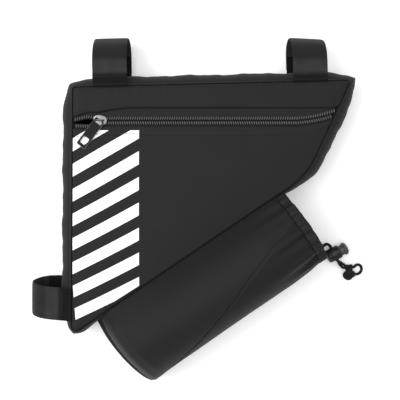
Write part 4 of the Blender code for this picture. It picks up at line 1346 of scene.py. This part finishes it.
def pocket_surface(shares, us):
    """A grid of points on the pocket's outer face, folds and seam included, and its normals."""
    grid = []
    for share in shares:
        section = resample(pocket_section(share), SECTION_STEPS)
        place = np.linspace(0, 1, SECTION_STEPS)
        n = np.interp(us, place, section[:, 0])
        z = np.interp(us, place, section[:, 1])
        grid.append(pocket_plan(n, z, share))
    grid = np.array(grid)
    normals = grid_normals(grid)
    share_grid, u_grid = np.meshgrid(shares, us, indexing="ij")
    out = gathers(u_grid, share_grid)
    off_seam = (u_grid - pocket_seam(share_grid)) * POCKET_ROUND
    out -= SEAM_GROOVE[0] * ridge(off_seam, SEAM_GROOVE[1])
    out -= SEAM_BACK[0] / (1 + np.exp(-off_seam / SEAM_BACK[1]))
    top = 1 - eased((u_grid - 0.5) / 0.08)
    edge = np.exp(-u_grid * POCKET_ROUND / (4 * MM))
    out += top * edge * 0.35 * MM * np.sin(2 * np.pi * share_grid * POCKET_LENGTH / CREASE_PUCKER_PITCH)
    out += top * 0.36 * MM * np.sin(share_grid * 9 + u_grid * 11) * eased(u_grid * 12)
    grid = grid + normals * out[..., None]
    grid[..., 2] = np.maximum(grid[..., 2], FLOOR_GAP)
    return grid, normals


def build_pocket():
    us = np.linspace(0, 1, 190)
    foot, length, mouth = np.linspace(0, 0.12, 16), np.linspace(0.12, 0.7, 50), np.linspace(0.7, 1, 48)
    shares = np.concatenate([foot[:-1], length[:-1], mouth])
    grid, _ = pocket_surface(shares, us)
    section = resample(pocket_section(0), len(us))
    middle = (section[0] + section[-1]) / 2
    cap = []
    along = side_line("down")[1]
    for size, back in POCKET_FOOT:
        spots = middle + (section - middle) * size
        row = pocket_plan(spots[:, 0], spots[:, 1], 0)
        row[:, :2] -= np.array(along) * back
        row[:, 2] = np.maximum(row[:, 2], FLOOR_GAP)
        cap.append(row)
    whole = np.concatenate([np.array(cap), grid])
    rows, columns, _ = whole.shape
    lengths = np.concatenate([np.linspace(-0.04, -0.005, len(cap)), shares])
    length_grid, u_grid = np.meshgrid(lengths, us, indexing="ij")
    uvs = np.stack([u_grid * POCKET_ROUND, length_grid * POCKET_LENGTH], axis=-1).reshape(-1, 2)
    faces = grid_faces(rows, columns)
    kinds = []
    for i in range(rows - 1):
        seam = 0.46 if i < len(cap) else pocket_seam(lengths[i])
        kinds += [int(u > seam) for u in us[:-1]]
    # the pocket's side panel takes the darker cloth, painted shade
    finishes = [front_cloth(), shaded_side_cloth()]
    made = make_piece("pocket_cloth", whole.reshape(-1, 3), faces, finishes, uvs, kinds, merge=2e-6)
    thicken(made, POCKET_CLOTH)
    settle(made, "body_cloth", "pocket_front_panel", "pocket_side_panel", "pocket_bottom")
    rows = []
    seam_shares = np.linspace(0.06, 0.985, 160)
    for offset in SEAM_STITCHES:
        spots = []
        normals = []
        for share in seam_shares:
            u = float(pocket_seam(share)) + offset / POCKET_ROUND
            near = np.array([-SEAM_STEP, 0, SEAM_STEP])
            patch, around = pocket_surface(share + near, u + near)
            spots.append(patch[1, 1])
            normals.append(around[1, 1])
        rows += stitch_row(spots, normals)
    make_stitches("pocket_seam_stitches", rows, "body_cloth")


def build_hem():
    count = 240
    us = np.linspace(0.006, 0.994, count)
    hem_share = HEM_WIDTH / (POCKET_LENGTH - HEM_WIDTH)
    grid, normals = pocket_surface([1.0, 1 + hem_share / 2, 1 + hem_share], us)
    forward = side_line("down")[1].to_3d()
    section = round_section(HEM_WIDTH - 0.6 * MM, HEM_THICKNESS, 20, 0.45)
    middle = [Vector(spot) for spot in grid[1]]
    ups = [Vector(normal) for normal in normals[1]]
    ruffle = 0.35 * MM * np.sin(2 * np.pi * us * 34) * (1 - eased((us - UNDERSIDE) / 0.08))
    spots = [spot - up * (1.25 * MM - float(more)) for spot, up, more in zip(middle, ups, ruffle)]
    for spot in spots:
        spot.z = max(spot.z, HEM_THICKNESS / 2 + FLOOR_GAP)
    binding = ribbed_webbing("turned_binding_cloth", colour_of("hem"), 0.8 * MM)
    hem = swept("pocket_hem_band", spots, [forward] * count, ups, section, binding)
    settle(hem, "hem_cloth", "pocket_hem")
    seen = int(np.sum(us < UNDERSIDE))
    seam = [spot - forward * (HEM_WIDTH / 2 - 1.9 * MM) + up * 1.62 * MM for spot, up in zip(spots, ups)]
    make_stitches("hem_stitches", stitch_row(seam[:seen], ups[:seen]), "hem_cloth")


# Straps


def strap_stations(path, name, least_skew=0.0):
    """Points, across and outward directions of a strap along its path of (distance, z), and how far out it
    reaches. Its skew grows along the path from the least share."""
    side, place, _, _, drop, skew = STRAPS[name]
    first, along, away = side_line(side)
    centre = first + along * place
    across = UP.cross(away.to_3d())
    furthest = max(distance for distance, _ in path)
    spots = []
    for k, (distance, z) in enumerate(path):
        shift = skew * max(k / (len(path) - 1), least_skew)
        lost = drop * 0.5 * (distance / furthest) ** 2
        spots.append((centre + away * (distance - lost)).to_3d() + across * shift + UP * z)
    ups = []
    for k in range(len(spots)):
        ups.append(direction_at(spots, k).cross(across).normalized())
    return spots, across, ups, furthest


def build_straps():
    pile = pile_strap()
    base = ribbed_webbing("flat_woven_webbing", colour_of("strap_base"), gloss=0.12)
    for name, (side, place, width, reach, drop, skew) in STRAPS.items():
        first, along_side, away = side_line(side)
        seam_middle = (first + along_side * place).to_3d() + UP * (BODY_DEPTH + 0.05 * MM)
        edges = [place - width / 2 - abs(skew), place, place + width / 2 + abs(skew)]
        back_edge = max(bulge_at(side, spot) for spot in edges) * GUSSET_SECTION[0][1]
        turn = [(n * reach, z * BODY_DEPTH) for n, z in STRAP_PATH]
        out = [(STRAP_GAP, BODY_DEPTH), *turn, (STRAP_FLAT * reach, 0)]
        path = [(spot.x, max(spot.y, 0.0)) for spot in smooth_run(out, 6)]
        flat = resample([(STRAP_FLAT * reach, 0), (back_edge + STRAP_END, 0)], 8)[1:]
        path += [(float(spot[0]), 0.0) for spot in flat]
        spots, across, ups, furthest = strap_stations(path, name)
        ups = [-up if up.dot(UP) < 0 and k < 3 else up for k, up in enumerate(ups)]
        sign = 1 if ups[0].dot(UP) > 0 else -1
        half = STRAP_THICKNESS / 2
        reached = lengths_along(spots)
        middles = []
        for spot, up, along in zip(spots, ups, reached):
            sway = 0.4 * MM * math.sin(along / (14 * MM))
            middles.append(spot - up * sign * (half - (sway if 20 * MM < along < 60 * MM else 0)))
        section = round_section(width, STRAP_THICKNESS, 28, 0.25)
        made = swept(f"{name}_pile", middles, [across] * len(spots), ups, section, pile)
        for spot in made.data.uv_layers[0].data:
            spot.uv.x += STRAP_SHIFT.get(name, 0.0)
        if drop:
            for vertex in made.data.vertices:
                offset = (vertex.co.xy - spots[0].xy).dot(across.xy) / width
                distance = (vertex.co.xy - spots[0].xy).dot(away)
                vertex.co.xy += away * drop * offset * (max(distance, 0) / furthest) ** 2
        settle(made, "strap_webbing", f"{name}_long")
        lifted = STRAP_THICKNESS + STRAP_GAP
        short = [
            ((STRAP_FLAT - 0.06) * reach, lifted),
            (back_edge + STRAP_END, lifted),
            (back_edge + STRAP_RAMP, lifted),
            (back_edge + STRAP_RAMP * 0.4, 0),
            (back_edge + STRAP_GAP, 0),
        ]
        short_path = [(spot.x, max(spot.y, 0)) for spot in smooth_run(short, 4)]
        spots = strap_stations(short_path, name, 1.0)[0]
        middles = [spot + UP * half for spot in spots]
        made = swept(f"{name}_hooks", middles, [across] * len(spots), [UP] * len(spots), section, base)
        settle(made, "strap_webbing", f"{name}_short")
        stitches = []
        for distance in STRAP_STITCHES:
            line = [
                seam_middle + away.to_3d() * distance + across * width * share
                for share in np.linspace(-0.46, 0.46, 12)
            ]
            stitches += stitch_row(line, [UP] * len(line))
        make_stitches(f"{name}_stitches", stitches, "strap_webbing")


# Drawcord, knot and lock


def photo_spot(x, y, z=0.0):
    """A point given in millimetres from the middle of the photograph."""
    return Vector((PHOTO_MIDDLE.x + x * MM, PHOTO_MIDDLE.y + y * MM, z * MM))


def strand_points(side):
    """The points of one free cord, side 1 or -1: one over the other in the lock, side by side at the knot."""
    plan = [Vector((x * MM, y * MM)) for x, y in CORD_ROUTE]
    last = len(plan) - 1
    points = []
    for k, spot in enumerate(plan):
        share = max(0.0, (k - LOCK_EXIT) / (last - LOCK_EXIT)) ** 0.6
        beside = outward_of(direction_at(plan, k))
        apart = CORD_SPACING / 2 * side
        flat = spot + beside * apart * math.sin(share * math.pi / 2)
        height = LOCK_RADIUS + (KNOT_RADIUS - LOCK_RADIUS) * share + apart * math.cos(share * math.pi / 2)
        points.append(PHOTO_MIDDLE.to_3d() + flat.to_3d() + UP * height)
    return points


def cord_curve(name, route):
    read = resample(smooth_run(route, 5), 90)
    curve = bpy.data.curves.new(name, "CURVE")
    curve.dimensions = "3D"
    curve.bevel_depth = sizes().cord / 2
    curve.bevel_resolution = 4
    curve.use_fill_caps = True
    spline = curve.splines.new("POLY")
    spline.points.add(len(read) - 1)
    for point, spot in zip(spline.points, read):
        point.co = (*spot, 1)
    spline.use_smooth = True
    curve.materials.append(braided_cord())
    return add_object(name, curve), float(lengths_along(read)[-1])


def knot_tube(name, centre, radius, strand, turn):
    """An overhand knot pulled tight."""
    spots = []
    size = (radius - strand) / 3
    for k in range(97):
        t = 2 * math.pi * k / 96
        x = math.sin(t) + 2 * math.sin(2 * t)
        y = math.cos(t) - 2 * math.cos(2 * t)
        spots.append(Vector((x, y, -math.sin(3 * t) * 1.3)) * size)
    matrix = Matrix.Translation(centre) @ Matrix.Rotation(turn, 4, "Z") @ Matrix.Rotation(0.35, 4, "X")
    return tube_along(name, [matrix @ spot for spot in spots], strand, braided_cord(), 14)


def build_cords():
    front_route = strand_points(1) + [photo_spot(*spot) for spot in KNOT_ROUTE + LOOP_ROUTE]
    back_route = strand_points(-1)
    front, front_length = cord_curve("drawcord_front_braid", front_route)
    back, back_length = cord_curve("drawcord_back_braid", back_route)
    settle(front, "cord", "drawcord_front", "cord_loop")
    settle(back, "cord", "drawcord_back")
    at_knot = photo_spot(*KNOT_PLACE, KNOT_RADIUS / MM)
    at_ball = photo_spot(*BALL_PLACE, BALL_RADIUS / MM)
    lump = knot_tube("cord_knot_lump", at_knot, KNOT_RADIUS * 1.06, 1.9 * MM, 0.4)
    ball = knot_tube("cord_knot_ball", at_ball, BALL_RADIUS * 1.05, 3.0 * MM, 1.3)
    settle(lump, "cord", "cord_knot")
    settle(ball, "cord")


def turned(name, profile, material, steps=48):
    """A solid turned about X from (along, radius) points, whose first and last lie on the axis."""
    points = [(profile[0][0], 0, 0)]
    for along, radius in profile[1:-1]:
        for k in range(steps):
            angle = 2 * math.pi * (k + 0.5) / steps
            points.append((along, radius * math.sin(angle), radius * math.cos(angle)))
    points.append((profile[-1][0], 0, 0))
    faces = []
    rings = len(profile) - 2
    for k in range(steps):
        following = (k + 1) % steps
        faces.append((0, 1 + following, 1 + k))
        for ring in range(rings - 1):
            start = 1 + ring * steps
            faces.append((start + k, start + following, start + steps + following, start + steps + k))
        last = 1 + (rings - 1) * steps
        faces.append((last + k, last + following, len(points) - 1))
    made = make_piece(name, points, faces, [material], outward=True)
    made.data.set_sharp_from_angle(angle=math.radians(40))
    return made


def cut_box(made, lowest, highest):
    """Cuts a box out of a piece, both in the piece's own frame."""
    xs, ys, zs = zip(lowest, highest)
    corners = [(x, y, z) for x in xs for y in ys for z in zs]
    faces = [(0, 1, 3, 2), (4, 6, 7, 5), (0, 4, 5, 1), (2, 3, 7, 6), (0, 2, 6, 4), (1, 5, 7, 3)]
    cutter = make_piece("cutter", corners, faces, [])
    change = made.modifiers.new("hole", "BOOLEAN")
    change.object = cutter
    bpy.context.view_layer.update()
    mesh = evaluated_mesh(made)
    made.modifiers.clear()
    made.data = mesh
    bpy.data.objects.remove(cutter)


def build_lock():
    bore = LOCK_RADIUS - LOCK_WALL
    stem = bore - LOCK_CLEARANCE
    rim = LOCK_RIM
    grooves = []
    for k in range(3):
        start = 3.2 * MM + k * 1.5 * MM + (5.2 * MM if k > 1 else 0)
        grooves += [(start + along * MM, LOCK_RADIUS - depth * MM) for along, depth in LOCK_GROOVE]
    barrel = turned(
        "cord_lock_barrel",
        [
            (0, 0), (0, LOCK_RADIUS - 2.2 * rim), (0.25 * rim, LOCK_RADIUS - 1.3 * rim),
            (rim, LOCK_RADIUS - 0.35 * rim), (2 * rim, LOCK_RADIUS), *grooves,
            (LOCK_LENGTH - rim, LOCK_RADIUS), (LOCK_LENGTH - 0.3 * rim, LOCK_RADIUS - 0.15 * rim),
            (LOCK_LENGTH, LOCK_RADIUS - 0.5 * rim), (LOCK_LENGTH, bore), (LOCK_FLOOR, bore), (LOCK_FLOOR, 0),
        ],
        moulded_plastic("moulded_black_acetal", colour_of("plastic")),
    )
    foot = LOCK_FLOOR + PLUNGER_TRAVEL + 0.3 * MM
    end = LOCK_LENGTH + PLUNGER_SHOWS
    under = LOCK_LENGTH + PLUNGER_TRAVEL + LOCK_CLEARANCE
    dome = []
    for angle in np.linspace(0, 1.5, 9):
        dome.append((end - BUTTON_DOME * (1 - math.sin(angle)), BUTTON_RADIUS * math.cos(angle) ** 0.6))
    button = turned(
        "cord_lock_button",
        [
            (foot, 0), (foot, stem - 0.3 * MM), (foot + 0.3 * MM, stem), (under, stem),
            (under, BUTTON_RADIUS - 0.5 * MM), (under + 0.5 * MM, BUTTON_RADIUS), *dome, (end, 0),
        ],
        moulded_plastic("moulded_grey_acetal", colour_of("plunger")),
    )
    tall = CORD_SPACING + sizes().cord + 1.0 * MM
    wide = sizes().cord / 2 + 0.5 * MM
    through = 2 * LOCK_RADIUS
    for piece, begin, end in (
        (barrel, CORD_HOLE_PLACE - wide, CORD_HOLE_PLACE + wide),
        (button, foot - wide, CORD_HOLE_PLACE + wide + PLUNGER_TRAVEL),
    ):
        cut_box(piece, (begin, -through, -tall / 2), (end, through, tall / 2))
    place = Matrix.Translation((*LOCK_START, LOCK_RADIUS)) @ Matrix.Rotation(LOCK_HEADING, 4, "Z")
    for piece in (barrel, button):
        piece.data.transform(place)
        piece.data.set_sharp_from_angle(angle=math.radians(40))
    settle(barrel, "lock_plastic", "cord_lock_body")
    settle(button, "plunger_plastic", "cord_lock_plunger", body="plunger")


# Floor, light and camera


def build_stage():
    scene = bpy.context.scene
    bpy.ops.mesh.primitive_plane_add(size=8.0, location=(0, 0, -0.0003))
    floor = bpy.context.object
    floor.name = "studio_floor"
    # an opal acrylic table lit softly from below, which keeps the shadows pale
    glow = {"Emission_Color": (1, 1, 1, 1), "Emission_Strength": 0.22}
    opal, tree, shader = start_material("opal_acrylic_floor", colour_of("floor"), 0.9, **glow)
    link_to(tree, tone_drift(tree, hex_colour("f6f6f6"), 0.012, 3.0), shader, "Base Color")
    floor.data.materials.append(opal)
    for name, place, size, power in LIGHTS:
        light = bpy.data.lights.new(name, "AREA")
        light.size = size
        light.energy = power
        lamp = add_object(name, light)
        lamp.location = place
        lamp.rotation_euler = (-Vector(place)).to_track_quat("-Z", "Y").to_euler()
    world = bpy.data.worlds.new("studio_white")
    world.use_nodes = True
    background = world.node_tree.nodes["Background"]
    background.inputs["Color"].default_value = (1, 1, 1, 1)
    background.inputs["Strength"].default_value = WORLD_STRENGTH
    scene.world = world
    scene.view_settings.view_transform = "Standard"
    camera = bpy.data.cameras.new("photo_camera")
    camera.lens = CAMERA_LENS
    camera.sensor_width = SENSOR
    eye = add_object("photo_camera", camera)
    eye.location = (PHOTO_MIDDLE.x, PHOTO_MIDDLE.y, CAMERA_HEIGHT)
    scene.camera = eye


# Operators, panel and registration


class BAG_OT_stage(bpy.types.Operator):
    """Makes the floor, the lights and the camera"""

    bl_idname = "bag.stage"
    bl_label = "Stage"

    def execute(self, context):
        build_stage()
        return {"FINISHED"}


class BAG_OT_lock(bpy.types.Operator):
    """Makes the cord lock's barrel and button"""

    bl_idname = "bag.lock"
    bl_label = "Cord lock"

    def execute(self, context):
        build_lock()
        return {"FINISHED"}


class BAG_OT_cords(bpy.types.Operator):
    """Makes the drawcord's free ends, the knot and the loop"""

    bl_idname = "bag.cords"
    bl_label = "Drawcord"

    def execute(self, context):
        build_cords()
        return {"FINISHED"}


class BAG_OT_front(bpy.types.Operator):
    """Makes the striped front panel, the band above the zip and their stitches"""

    bl_idname = "bag.front"
    bl_label = "Front"

    def execute(self, context):
        build_front()
        return {"FINISHED"}


class BAG_OT_gusset(bpy.types.Operator):
    """Makes the gusset round the body"""

    bl_idname = "bag.gusset"
    bl_label = "Gusset"

    def execute(self, context):
        build_gusset()
        return {"FINISHED"}


class BAG_OT_back(bpy.types.Operator):
    """Makes the back panel"""

    bl_idname = "bag.back"
    bl_label = "Back"

    def execute(self, context):
        build_back()
        return {"FINISHED"}


class BAG_OT_zip(bpy.types.Operator):
    """Makes the zip's tapes and coils"""

    bl_idname = "bag.zip"
    bl_label = "Zip"

    def execute(self, context):
        build_zip()
        return {"FINISHED"}


class BAG_OT_slider(bpy.types.Operator):
    """Makes the zip's slider"""

    bl_idname = "bag.slider"
    bl_label = "Slider"

    def execute(self, context):
        build_slider()
        return {"FINISHED"}


class BAG_OT_pull(bpy.types.Operator):
    """Makes the zip's pull tab"""

    bl_idname = "bag.pull"
    bl_label = "Pull"

    def execute(self, context):
        build_pull()
        return {"FINISHED"}


class BAG_OT_pocket(bpy.types.Operator):
    """Makes the bottle pocket and its seam"""

    bl_idname = "bag.pocket"
    bl_label = "Pocket"

    def execute(self, context):
        build_pocket()
        return {"FINISHED"}


class BAG_OT_hem(bpy.types.Operator):
    """Makes the pocket's drawcord hem"""

    bl_idname = "bag.hem"
    bl_label = "Hem"

    def execute(self, context):
        build_hem()
        return {"FINISHED"}


class BAG_OT_straps(bpy.types.Operator):
    """Makes the three hook-and-loop straps"""

    bl_idname = "bag.straps"
    bl_label = "Straps"

    def execute(self, context):
        build_straps()
        return {"FINISHED"}


# in the order in which they run
OPERATORS = [
    BAG_OT_stage,
    BAG_OT_lock,
    BAG_OT_cords,
    BAG_OT_front,
    BAG_OT_gusset,
    BAG_OT_back,
    BAG_OT_zip,
    BAG_OT_slider,
    BAG_OT_pull,
    BAG_OT_pocket,
    BAG_OT_hem,
    BAG_OT_straps,
]


class BAG_PT_pieces(bpy.types.Panel):
    """Lists the bag's sizes, colours and pieces."""

    bl_label = "Frame bag"
    bl_idname = "BAG_PT_pieces"
    bl_space_type = "VIEW_3D"
    bl_region_type = "UI"
    bl_category = "Frame bag"

    def draw(self, context):
        column = self.layout.column()
        for group in (context.scene.bag_sizes, context.scene.bag_colours):
            for name in group.__annotations__:
                column.prop(group, name)
        for operator in OPERATORS:
            column.operator(operator.bl_idname)


CLASSES = [BagSizes, BagColours, *OPERATORS, BAG_PT_pieces]


def register():
    for kind in CLASSES:
        bpy.utils.register_class(kind)
    bpy.types.Scene.bag_sizes = PointerProperty(type=BagSizes)
    bpy.types.Scene.bag_colours = PointerProperty(type=BagColours)


def unregister():
    del bpy.types.Scene.bag_sizes
    del bpy.types.Scene.bag_colours
    for kind in reversed(CLASSES):
        bpy.utils.unregister_class(kind)


def main():
    register()
    for operator in OPERATORS:
        getattr(bpy.ops.bag, operator.bl_idname.split(".")[1])()


if __name__ == "__main__":
    main()
